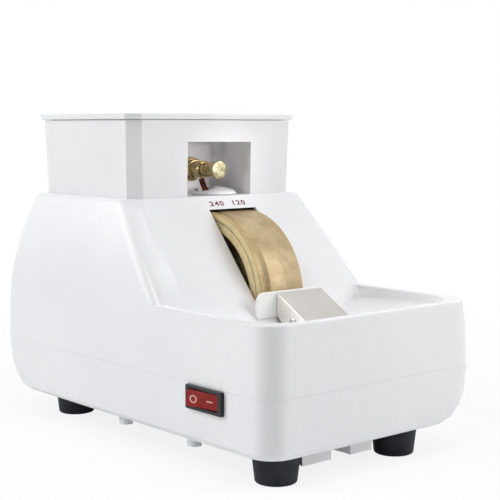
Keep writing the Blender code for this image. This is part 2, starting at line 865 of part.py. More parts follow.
def tank_section(height, inset, extra=0):
    share = (height - tank_bottom) / tank_height
    flare = tank_flare * share + extra - inset
    low_x = left_x + tank_left - flare
    high_x = left_x + tank_left + tank_width + flare
    low_y = front_y + tank_front - flare
    high_y = front_y + tank_front + tank_depth + flare
    wide = tank_front_left_cut - inset * (2 - math.sqrt(2))
    corner = max(tank_corner_cut - inset * (2 - math.sqrt(2)), fit_gap)
    points = (
        (low_x + wide, low_y), (high_x - corner, low_y), (high_x, low_y + corner),
        (high_x, high_y - corner), (high_x - corner, high_y), (low_x + corner, high_y),
        (low_x, high_y - corner), (low_x, low_y + wide),
    )
    return [Vector((across, along, height)) for across, along in points]


def recess_outline(grow):
    low_x = left_x + recess_left - grow
    high_x = left_x + recess_right + grow
    low_y = front_y + tank_front - cut_overrun
    high_y = front_y + recess_back + grow
    corner = recess_corner_cut + grow * (2 - math.sqrt(2))
    return [(low_x, low_y), (high_x, low_y), (high_x, high_y - corner), (high_x - corner, high_y),
            (low_x, high_y)]


def make_tank():
    tank = loft("water_tank", [tank_section(tank_bottom, 0), tank_section(tank_top, 0)], white)
    inside = loft("tank_cavity_cutter", [tank_section(tank_bottom + tank_wall, tank_wall),
                                         tank_section(tank_top + cut_overrun, tank_wall)])
    island = prism("tank_island_cutter", recess_outline(tank_wall), "Z", tank_bottom - cut_overrun,
                   recess_top_height + tank_wall)
    cut(inside, island)
    recess = prism("recess_cutter", recess_outline(0), "Z", tank_bottom - cut_overrun, recess_top_height)
    place = (valve_x, front_y + recess_back, valve_axis_height)
    hole = cylinder("valve_hole_cutter", "Y", place, valve_thread_radius + valve_hole_gap,
                    -cut_overrun, tank_wall + cut_overrun, 24)
    cut(tank, inside, recess, hole)


def make_lid():
    bottom = tank_top + fit_gap
    top = bottom + lid_thickness
    plug_inset = tank_wall + lid_plug_gap + tank_flare / 2
    rings = [
        tank_section(bottom - lid_plug_depth, plug_inset),
        tank_section(bottom, plug_inset),
        tank_section(bottom, 0, lid_overhang),
        tank_section(bottom + lid_edge, 0, lid_overhang + lid_flare),
        tank_section(top - lid_edge, 0, lid_overhang + lid_flare),
        tank_section(top, 0, lid_overhang),
    ]
    lid = loft("tank_lid", rings, white)
    hollow = loft("lid_hollow_cutter", [
        tank_section(bottom - lid_plug_depth - cut_overrun, plug_inset + lid_plug_wall),
        tank_section(top - lid_skin, plug_inset + lid_plug_wall),
    ])
    cut(lid, hollow)


# The valve's outlines run from its seat on the recess wall towards the front, so along is negative
def make_valve():
    seat = (valve_x, valve_seat_y, valve_axis_height)
    flange_end = -valve_flange_length
    shoulder_end = flange_end - valve_shoulder_length
    body_end = shoulder_end - valve_body_length
    neck_end = body_end - valve_neck_length
    thread_end = valve_thread_length
    outline = [
        (thread_end, 0),
        (thread_end, valve_thread_radius - valve_edge),
        (thread_end - valve_edge, valve_thread_radius),
        (0, valve_thread_radius),
        (0, valve_flange_radius),
        (flange_end + valve_edge, valve_flange_radius),
        (flange_end, valve_flange_radius - valve_edge),
        (flange_end, valve_shoulder_radius),
        (shoulder_end + valve_edge, valve_shoulder_radius),
        (shoulder_end, valve_shoulder_radius - valve_edge),
        (shoulder_end, valve_body_radius),
        (body_end + valve_collar_length, valve_body_radius),
        (body_end + valve_collar_length, valve_collar_radius),
        (body_end, valve_collar_radius),
        (body_end, valve_neck_radius),
        (neck_end + valve_edge, valve_neck_radius),
        (neck_end, valve_neck_radius - valve_edge),
        (neck_end, valve_bore_radius),
        (neck_end + valve_stem_seat_depth, valve_bore_radius),
        (neck_end + valve_stem_seat_depth, 0),
    ]
    turned("valve_body", outline, "Y", seat, 20, brass)

    knob_back = neck_end - knob_gap
    knob_front = knob_back - knob_length
    outline = [
        (knob_front, 0),
        (knob_front, knob_radius - knob_edge),
        (knob_front + knob_edge, knob_radius),
        (knob_back - knob_waist_length - knob_edge, knob_radius),
        (knob_back - knob_waist_length, knob_waist_radius),
        (knob_back, knob_waist_radius),
        (knob_back, valve_bore_radius),
        (knob_back - knob_bore_depth, valve_bore_radius),
        (knob_back - knob_bore_depth, 0),
    ]
    turned("valve_knob", outline, "Y", seat, 20, brass)
    cylinder("valve_stem", "Y", seat, valve_stem_radius, knob_back - knob_bore_depth + fit_gap,
             neck_end + valve_stem_seat_depth - fit_gap, 12, steel)

    nut_start = tank_wall + fit_gap * 2
    nut = prism("valve_locknut", hexagon((seat[0], seat[2]), locknut_across_flats), "Y",
                valve_seat_y + nut_start, valve_seat_y + nut_start + locknut_thickness, brass)
    bore = cylinder("locknut_bore_cutter", "Y", seat, valve_thread_radius + valve_hole_gap,
                    nut_start - cut_overrun, nut_start + locknut_thickness + cut_overrun, 24)
    cut(nut, bore)
    make_spout(seat)


# The spout drops from under the valve and leans forward into the drip collar
def make_spout(seat):
    top = Vector((seat[0], seat[1] - spout_from_seat, seat[2] - valve_collar_radius - fit_gap))
    bottom = Vector((valve_x, spout_tip_y, deck_height + spout_end_rise))
    shoulder = top.lerp(bottom, 0.25)
    shoulder.y = top.y
    path = bpy.data.curves.new("valve_spout", "CURVE")
    path.dimensions = "3D"
    path.bevel_depth = spout_radius
    path.bevel_resolution = 2
    path.use_fill_caps = True
    line = path.splines.new("POLY")
    count = 9
    line.points.add(count - 1)
    for index in range(count):
        share = index / (count - 1)
        first = top.lerp(shoulder, share)
        second = shoulder.lerp(bottom, share)
        point = first.lerp(second, share)
        line.points[index].co = (point.x, point.y, point.z, 1)
    add_object("valve_spout", path, copper)


# A low dome over the wheel, with a funnel, a bore and a neck below the end of the spout
def make_drip_collar():
    outline = [(fit_gap, 0), (fit_gap, collar_radius)]
    for step in range(1, 6):
        turn = math.radians(90 * step / 6)
        rise = (collar_height - fit_gap) * math.sin(turn)
        outline.append((fit_gap + rise, collar_radius * math.cos(turn)))
    outline.append((collar_height, 0))
    middle = (wheel_x + collar_right_step, front_y + collar_back, deck_height)
    collar = turned("drip_collar", outline, "Z", middle, 28, white)
    place = (valve_x, drip_y, deck_height)
    neck = cylinder("collar_neck", "Z", place, collar_neck_radius, -collar_neck_drop, collar_height / 4, 20)
    bore = cylinder("collar_bore_cutter", "Z", place, collar_bore_radius, -collar_neck_drop - cut_overrun,
                    collar_height + cut_overrun, 20)
    funnel = cylinder("collar_funnel_cutter", "Z", place, collar_funnel_radius, collar_funnel_rise,
                      collar_height + cut_overrun, 24)
    add(collar, neck)
    cut(collar, bore, funnel)


def make_chamber():
    low_y = front_y + chamber_front_back
    high_y = front_y + chamber_rear_back
    knee = tray_floor_height
    lean = fit_gap * 2
    outline = [
        (low_y, chamber_floor),
        (low_y, knee),
        (slope_y(knee, casing_wall) + lean, knee),
        (slope_y(chamber_top_height, casing_wall) + lean, chamber_top_height),
        (high_y, chamber_top_height),
        (high_y, chamber_floor),
    ]
    chamber = prism("wheel_chamber", outline, "X", chamber_left, chamber_right, black_plastic)
    mouth = low_y - cut_overrun
    inner = [
        (low_y + chamber_wall, chamber_floor + chamber_wall),
        (low_y + chamber_wall, slot_bottom_height),
        (mouth, slot_bottom_height),
        (mouth, chamber_top_height - chamber_wall),
        (high_y - chamber_wall, chamber_top_height - chamber_wall),
        (high_y - chamber_wall, chamber_floor + chamber_wall),
    ]
    inside = prism("chamber_cutter", inner, "X", chamber_left + chamber_wall, chamber_right - chamber_wall)
    drip = cylinder("chamber_drip_cutter", "Z", (valve_x, drip_y, chamber_top_height),
                    collar_neck_radius + collar_gap, -cut_overrun, cut_overrun, 20)
    drain = cylinder("chamber_drain_cutter", "Z", (wheel_x, front_y + drain_back, chamber_floor),
                     drain_radius + fit_gap, -cut_overrun, cut_overrun, 20)
    port = cylinder("chamber_shaft_cutter", "X", (chamber_left, wheel_y, wheel_axis_height),
                    seal_radius + fit_gap, -cut_overrun, chamber_wall + cut_overrun / 2, 32)
    cut(chamber, inside, drip, drain, port)

    flange_bottom = chamber_floor + chamber_wall + fit_gap
    flange_top = flange_bottom + drain_flange_thickness
    outline = [
        (drain_drop, drain_bore_radius),
        (drain_drop, drain_radius),
        (flange_bottom, drain_radius),
        (flange_bottom, drain_flange_radius),
        (flange_top, drain_flange_radius),
        (flange_top, drain_bore_radius),
    ]
    turned("drain_spigot", outline, "Z", (wheel_x, front_y + drain_back, 0), 20, black_plastic)


# Everything on the shaft is given by how far it lies to the right of a plane, and its radius
def make_shaft_ring(name, start, outline, steps, finish):
    return turned(name, outline, "X", (start, wheel_y, wheel_axis_height), steps, finish)


def ring_outline(length, inner, outer):
    return [(0, inner), (0, outer), (length, outer), (length, inner)]


def make_wheel():
    core_radius = wheel_radius - bond_depth - fit_gap
    inner_radius = core_radius - core_rim_wall
    disc_radius = inner_radius - fit_gap
    hub_right = core_hub_left + core_hub_length
    web_right = core_web_left + core_web_thickness
    bore = shaft_radius + fit_gap
    make_shaft_ring("wheel_rim", wheel_left, ring_outline(wheel_width, inner_radius, core_radius),
                    wheel_steps, aluminium)
    outline = [
        (core_web_left, disc_radius),
        (web_right, disc_radius),
        (web_right, core_hub_radius),
        (hub_right, core_hub_radius),
        (hub_right, bore),
        (core_hub_left, bore),
        (core_hub_left, core_hub_radius),
        (core_web_left, core_hub_radius),
    ]
    make_shaft_ring("wheel_hub", wheel_left, outline, wheel_steps, aluminium)

    inner = wheel_radius - bond_depth
    groove_end = fine_land_width + groove_width
    outline = [
        (0, inner),
        (0, wheel_radius),
        (fine_land_width, wheel_radius),
        (fine_land_width + groove_width / 2, wheel_radius - groove_depth),
        (groove_end, wheel_radius),
        (fine_band_width, wheel_radius),
        (fine_band_width, inner),
    ]
    make_shaft_ring("fine_grinding_band", wheel_left, outline, wheel_steps, bond)
    coarse_width = wheel_width - fine_band_width - fit_gap
    make_shaft_ring("coarse_grinding_band", wheel_left + fine_band_width + fit_gap,
                    ring_outline(coarse_width, inner, wheel_radius), wheel_steps, coarse_bond)

    disc = ring_outline(flange_thickness, bore, flange_radius)
    hub_start = wheel_left + core_hub_left
    inner_flange = hub_start - fit_gap - flange_thickness
    outer_flange = hub_start + core_hub_length + fit_gap
    make_shaft_ring("inner_flange", inner_flange, disc, 24, steel)
    make_shaft_ring("outer_flange", outer_flange, disc, 24, steel)
    nut_start = outer_flange + flange_thickness + fit_gap
    nut = prism("wheel_nut", hexagon((wheel_y, wheel_axis_height), wheel_nut_across_flats), "X",
                nut_start, nut_start + wheel_nut_thickness, steel)
    nut_bore = cylinder("wheel_nut_cutter", "X", (nut_start, wheel_y, wheel_axis_height), bore,
                        -cut_overrun, wheel_nut_thickness + cut_overrun, 24)
    cut(nut, nut_bore)
    return inner_flange, nut_start + wheel_nut_thickness


def make_motor(shoulder_end, shaft_end):
    right = chamber_left - motor_chamber_gap
    right_shield = right - shield_length
    stator = right_shield - fit_gap - stator_length
    left_shield = stator - fit_gap - shield_length

    pocket = shield_length - bearing_width - fit_gap
    cover = [
        (0, shield_bore_radius), (0, motor_radius), (shield_length, motor_radius),
        (shield_length, motor_radius - shield_wall), (shield_wall, motor_radius - shield_wall),
        (shield_wall, shield_hub_radius), (shield_length, shield_hub_radius),
        (shield_length, bearing_radius + fit_gap), (pocket, bearing_radius + fit_gap),
        (pocket, shield_bore_radius),
    ]
    mirrored = [(shield_length - along, radius) for along, radius in cover]
    make_shaft_ring("left_end_shield", left_shield, cover, 28, aluminium)
    make_shaft_ring("right_end_shield", right_shield, mirrored, 28, aluminium)

    make_shaft_ring("stator_core", stator, ring_outline(stator_length, stator_bore_radius, motor_radius),
                    28, lamination)
    winding = ring_outline(winding_length, winding_inner_radius, winding_outer_radius)
    make_shaft_ring("left_winding", stator - fit_gap - winding_length, winding, 24, copper)
    make_shaft_ring("right_winding", stator + stator_length + fit_gap, winding, 24, copper)

    left_bearing = left_shield + shield_length - bearing_width
    right_bearing = right_shield
    make_shaft_ring("left_bearing", left_bearing,
                    ring_outline(bearing_width, shaft_journal_radius + fit_gap, bearing_radius), 24, steel)
    make_shaft_ring("right_bearing", right_bearing,
                    ring_outline(bearing_width, shaft_radius + fit_gap, bearing_radius), 24, steel)
    make_shaft_ring("rotor", stator, ring_outline(stator_length, shaft_radius + fit_gap,
                    stator_bore_radius - air_gap), 24, lamination)

    journal_end = left_bearing + bearing_width + fit_gap
    shoulder = right + fit_gap
    centre = (0, wheel_y, wheel_axis_height)
    outline = [
        (left_bearing, 0),
        (left_bearing, shaft_journal_radius - shaft_end_chamfer),
        (left_bearing + shaft_end_chamfer, shaft_journal_radius),
        (journal_end, shaft_journal_radius),
        (journal_end, shaft_radius),
        (shoulder, shaft_radius),
        (shoulder, shaft_shoulder_radius),
        (shoulder_end - fit_gap, shaft_shoulder_radius),
        (shoulder_end - fit_gap, shaft_radius),
        (shaft_end + shaft_end_chamfer, shaft_radius),
        (shaft_end + shaft_end_chamfer * 2, shaft_radius - shaft_end_chamfer),
        (shaft_end + shaft_end_chamfer * 2, 0),
    ]
    turned("motor_shaft", outline, "X", centre, 20, steel)
    seal = ring_outline(seal_length, shaft_shoulder_radius + fit_gap, seal_radius)
    make_shaft_ring("shaft_seal", chamber_left - seal_length + chamber_wall + seal_stand_out,
                    seal, 24, black_rubber)
    make_bracket(stator + (stator_length - bracket_length) / 2)


# A steel cradle: a base plate and two upright ends with a round seat for the stator
def make_bracket(start):
    floor = floor_top + fit_gap
    low_y = wheel_y - bracket_half_depth
    high_y = wheel_y + bracket_half_depth
    outline = [(low_y, floor), (high_y, floor), (high_y, bracket_top_height), (low_y, bracket_top_height)]
    bracket = prism("motor_bracket", outline, "X", start, start + bracket_length, steel)
    seat = cylinder("bracket_seat_cutter", "X", (start, wheel_y, wheel_axis_height), motor_radius + fit_gap,
                    -cut_overrun, bracket_length + cut_overrun, 48)
    window = box("bracket_window_cutter",
                 (start + bracket_plate, low_y - cut_overrun, floor + bracket_plate),
                 (start + bracket_length - bracket_plate, high_y + cut_overrun,
                  bracket_top_height + cut_overrun))
    cut(bracket, seat, window)


# An upright plate whose foot is cut to the slope of the panel behind it
def make_splash_plate():
    low_y = front_y + plate_front
    high_y = low_y + plate_thickness
    foot_back = plate_foot_height + fit_gap / math.cos(slope_angle)
    foot_front = foot_back - plate_thickness * math.tan(slope_angle)
    over = cut_overrun * math.tan(slope_angle)
    low_x = left_x + plate_left
    high_x = left_x + plate_right
    outline = [(low_x, foot_front), (high_x, foot_front), (high_x, plate_top_height)]
    for step in range(corner_steps + 1):
        turn = math.radians(90 + 90 * step / corner_steps)
        outline.append((low_x + plate_corner_radius + plate_corner_radius * math.cos(turn),
                        plate_top_height - plate_corner_radius + plate_corner_radius * math.sin(turn)))
    plate = prism("splash_plate", outline, "Y", low_y, high_y, white)
    wedge = prism("plate_foot_cutter",
                  [(low_y - cut_overrun, foot_front - over), (high_y + cut_overrun, foot_front - over),
                   (high_y + cut_overrun, foot_back + over)],
                  "X", low_x - cut_overrun, high_x + cut_overrun)
    cut(plate, wedge)


def make_lens_rest():
    floor = tray_floor_height + fit_gap
    back = front_y + plate_front - fit_gap
    run = (rest_top_height - rest_nose_height) / math.tan(rest_angle)
    nose = back - run
    outline = [(nose, floor), (nose, rest_nose_height), (back, rest_top_height),
               (back, floor + rest_toe_cut), (back - rest_toe_cut, floor)]
    low_x = left_x + rest_left
    high_x = left_x + plate_right
    rest = prism("lens_rest", outline, "X", low_x, high_x, pale_grey)
    drop = rest_sheet / math.cos(rest_angle)
    inner = [(nose + rest_sheet, floor - cut_overrun),
             (nose + rest_sheet, rest_nose_height - drop + rest_sheet * math.tan(rest_angle)),
             (back + cut_overrun, rest_top_height - drop + cut_overrun * math.tan(rest_angle)),
             (back + cut_overrun, floor - cut_overrun)]
    hollow = prism("rest_hollow_cutter", inner, "X", low_x + rest_sheet, high_x - rest_sheet)
    line = (low_x, front_y + rest_screw_back, tray_floor_height + rest_screw_rise)
    bore = cylinder("rest_bore_cutter", "X", line, rest_screw_hole_radius, -cut_overrun,
                    high_x - low_x + cut_overrun, 12)
    cut(rest, hollow, bore)
    for side, seat_x, way in (("left", low_x - fit_gap, 1), ("right", high_x + fit_gap, -1)):
        make_screw(f"rest_screw_{side}", "X", (seat_x, line[1], line[2]), way, rest_screw_head_radius,
                   rest_screw_head_height, rest_screw_shank_radius, rest_screw_length)


def make_switch():
    middle = front_y + switch_back
    outer = left_x - fit_gap
    inner = outer + fit_gap + switch_body_depth
    half_length = switch_body_length / 2
    half_height = switch_body_height / 2
    face = outer - bezel_thickness
    body = box("switch_body", (face, middle - bezel_length / 2, switch_height - bezel_height / 2),
               (outer, middle + bezel_length / 2, switch_height + bezel_height / 2), black_plastic)
    barrel = box("switch_barrel",
                 (outer - bezel_thickness / 2, middle - half_length, switch_height - half_height),
                 (inner, middle + half_length, switch_height + half_height))
    half_pocket = switch_pocket_length / 2
    pocket_high = half_height - switch_pocket_wall / 2
    pocket = box("switch_pocket_cutter",
                 (face - cut_overrun, middle - half_pocket, switch_height - pocket_high),
                 (face + switch_pocket_depth, middle + half_pocket, switch_height + pocket_high))
    add(body, barrel)
    cut(body, pocket)

    # The rocker is drawn level, with its pivot at the object's origin, and then turned so that its rear end
    # stands out and its front end is pressed in
    pivot = Vector((face + rocker_pivot_depth, middle, switch_height))
    half = rocker_length / 2
    outline = [(-rocker_peak, 0), (-rocker_wing, -half), (rocker_depth - rocker_wing, -half),
               (rocker_depth, -rocker_root_half), (rocker_depth, rocker_root_half),
               (rocker_depth - rocker_wing, half), (-rocker_wing, half)]
    rocker_high = pocket_high - rocker_gap
    rocker = prism("switch_rocker", outline, "Z", -rocker_high, rocker_high, red)
    rocker.location = pivot
    rocker.rotation_euler = (0, 0, rocker_half_turn)


def make_gland():
    seat = (left_x + gland_across, back_y, gland_height)
    flange_start = fit_gap
    flange_end = flange_start + gland_flange_length
    dome_end = flange_end + gland_dome_length
    outline = [
        (-gland_thread_length, gland_bore_radius),
        (-gland_thread_length, gland_thread_radius),
        (flange_start, gland_thread_radius),
        (flange_start, gland_flange_radius),
        (flange_end, gland_flange_radius),
        (flange_end, gland_dome_radius),
        (flange_end + gland_dome_length / 2, gland_dome_radius),
        (dome_end - gland_dome_length / 5, gland_dome_radius - gland_dome_length / 8),
        (dome_end, gland_thread_radius - gland_dome_length / 8),
        (dome_end, gland_bore_radius),
    ]
    turned("cable_gland", outline, "Y", seat, 20, black_plastic)


def make_wiring_parts():
    floor = floor_top + fit_gap
    centre = (left_x + capacitor_across, front_y + capacitor_front, floor + capacitor_radius)
    outline = [
        (0, 0), (0, capacitor_radius - capacitor_edge), (capacitor_edge, capacitor_radius),
        (capacitor_length - capacitor_edge, capacitor_radius),
        (capacitor_length, capacitor_radius - capacitor_edge), (capacitor_length, 0),
    ]
    turned("run_capacitor", outline, "Y", centre, 20, pale_grey)

    low = (left_x + terminal_left, front_y + terminal_front, floor)
    high = (low[0] + terminal_length, low[1] + terminal_depth, floor + terminal_height)
    block = box("terminal_block", low, high, beige)
    pitch = terminal_length / 3
    for index in range(3):
        middle = low[0] + pitch * (index + 0.5)
        well = box(f"terminal_cutter_{index}",
                   (middle - terminal_slot / 2, low[1] - cut_overrun, floor + terminal_height / 3),
                   (middle + terminal_slot / 2, high[1] + cut_overrun, floor + terminal_height * 2 / 3))
        cut(block, well)


clear_scene()
make_upper_housing()
make_lower_housing()
make_bottom_cover()
make_case_screws()
make_feet()
make_tank()
make_lid()
make_valve()
make_drip_collar()
make_chamber()
inner_flange_left, nut_right = make_wheel()
make_motor(inner_flange_left, nut_right)
make_splash_plate()
make_lens_rest()
make_switch()
make_gland()
make_wiring_parts()
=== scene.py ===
import json
import math

import bmesh
import bpy
from mathutils import Matrix, Vector


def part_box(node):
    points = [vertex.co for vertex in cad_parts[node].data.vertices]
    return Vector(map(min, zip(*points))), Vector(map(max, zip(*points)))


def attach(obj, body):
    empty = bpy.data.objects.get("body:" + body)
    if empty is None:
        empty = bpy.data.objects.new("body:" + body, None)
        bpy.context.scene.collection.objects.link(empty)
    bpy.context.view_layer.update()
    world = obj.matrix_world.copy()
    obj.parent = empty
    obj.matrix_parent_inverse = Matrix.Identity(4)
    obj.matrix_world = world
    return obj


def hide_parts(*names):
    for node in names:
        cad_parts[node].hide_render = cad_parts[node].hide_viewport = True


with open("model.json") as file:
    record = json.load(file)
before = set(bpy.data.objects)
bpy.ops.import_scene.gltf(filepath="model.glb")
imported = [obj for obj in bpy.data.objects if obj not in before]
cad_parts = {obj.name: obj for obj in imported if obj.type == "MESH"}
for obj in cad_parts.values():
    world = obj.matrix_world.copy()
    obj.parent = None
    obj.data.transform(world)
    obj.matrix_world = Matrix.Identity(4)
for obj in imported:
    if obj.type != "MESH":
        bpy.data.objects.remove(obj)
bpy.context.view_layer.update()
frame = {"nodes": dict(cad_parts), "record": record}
print("frame loaded")


# Adds a shader node, sets its properties and the values of its inputs
def addNode(tree, kind, inputs=None, **properties):
    node = tree.nodes.new(kind)
    for name, value in properties.items():
        setattr(node, name, value)
    for name, value in (inputs or {}).items():
        node.inputs[name].default_value = value
    return node


# What a finish has where its own values don't say otherwise
plainFinish = {"metallic": 0.0, "specular": 0.5, "stretch": (1, 1, 1), "cloudDetail": 3, "rampLow": 0.35,
               "rampHigh": 0.65, "grainDetail": 4, "grainRoughness": 0.6, "fleckLow": 0.56, "fleckHigh": 0.7,
               "glossLow": 0.3, "glossHigh": 0.7}


# A finish from two noises: a slow one for the colour, and a fine grain for the flecks, the gloss and the bump
def makeFinish(name, ownLook):
    look = {**plainFinish, **ownLook}
    material = bpy.data.materials.new(name)
    material.use_nodes = True
    tree = material.node_tree
    link = tree.links.new
    shader = tree.nodes["Principled BSDF"]
    shader.inputs["Metallic"].default_value = look["metallic"]
    shader.inputs["Specular IOR Level"].default_value = look["specular"]

    place = addNode(tree, "ShaderNodeTexCoord")
    mapping = addNode(tree, "ShaderNodeMapping", {"Scale": look["stretch"]})
    link(place.outputs["Object"], mapping.inputs["Vector"])

    cloud = addNode(tree, "ShaderNodeTexNoise", {"Scale": look["cloudScale"], "Detail": look["cloudDetail"]})
    link(mapping.outputs["Vector"], cloud.inputs["Vector"])
    ramp = addNode(tree, "ShaderNodeValToRGB")
    for element, position, shade in zip(ramp.color_ramp.elements, ("rampLow", "rampHigh"), ("dark", "light")):
        element.position = look[position]
        element.color = (*look[shade], 1)
    link(cloud.outputs["Fac"], ramp.inputs["Fac"])
    colour = ramp.outputs["Color"]

    grain = addNode(tree, "ShaderNodeTexNoise", {
        "Scale": look["grainScale"], "Detail": look["grainDetail"], "Roughness": look["grainRoughness"]})
    link(mapping.outputs["Vector"], grain.inputs["Vector"])
    if "fleck" in look:
        flecks = addNode(tree, "ShaderNodeMapRange", {
            "From Min": look["fleckLow"], "From Max": look["fleckHigh"], "To Max": look["fleckShare"]})
        link(grain.outputs["Fac"], flecks.inputs["Value"])
        mix = addNode(tree, "ShaderNodeMix", data_type="RGBA")
        mix.inputs["B"].default_value = (*look["fleck"], 1)
        link(flecks.outputs["Result"], mix.inputs["Factor"])
        link(colour, mix.inputs["A"])
        colour = mix.outputs["Result"]
    link(colour, shader.inputs["Base Color"])

    gloss = addNode(tree, "ShaderNodeMapRange", {
        "From Min": look["glossLow"], "From Max": look["glossHigh"],
        "To Min": look["roughness"] - look["glossSpread"], "To Max": look["roughness"] + look["glossSpread"]})
    link(grain.outputs["Fac"], gloss.inputs["Value"])
    link(gloss.outputs["Result"], shader.inputs["Roughness"])

    bump = addNode(tree, "ShaderNodeBump", {
        "Strength": look["grainStrength"], "Distance": look["grainDepth"]})
    link(grain.outputs["Fac"], bump.inputs["Height"])
    link(bump.outputs["Normal"], shader.inputs["Normal"])
    return material


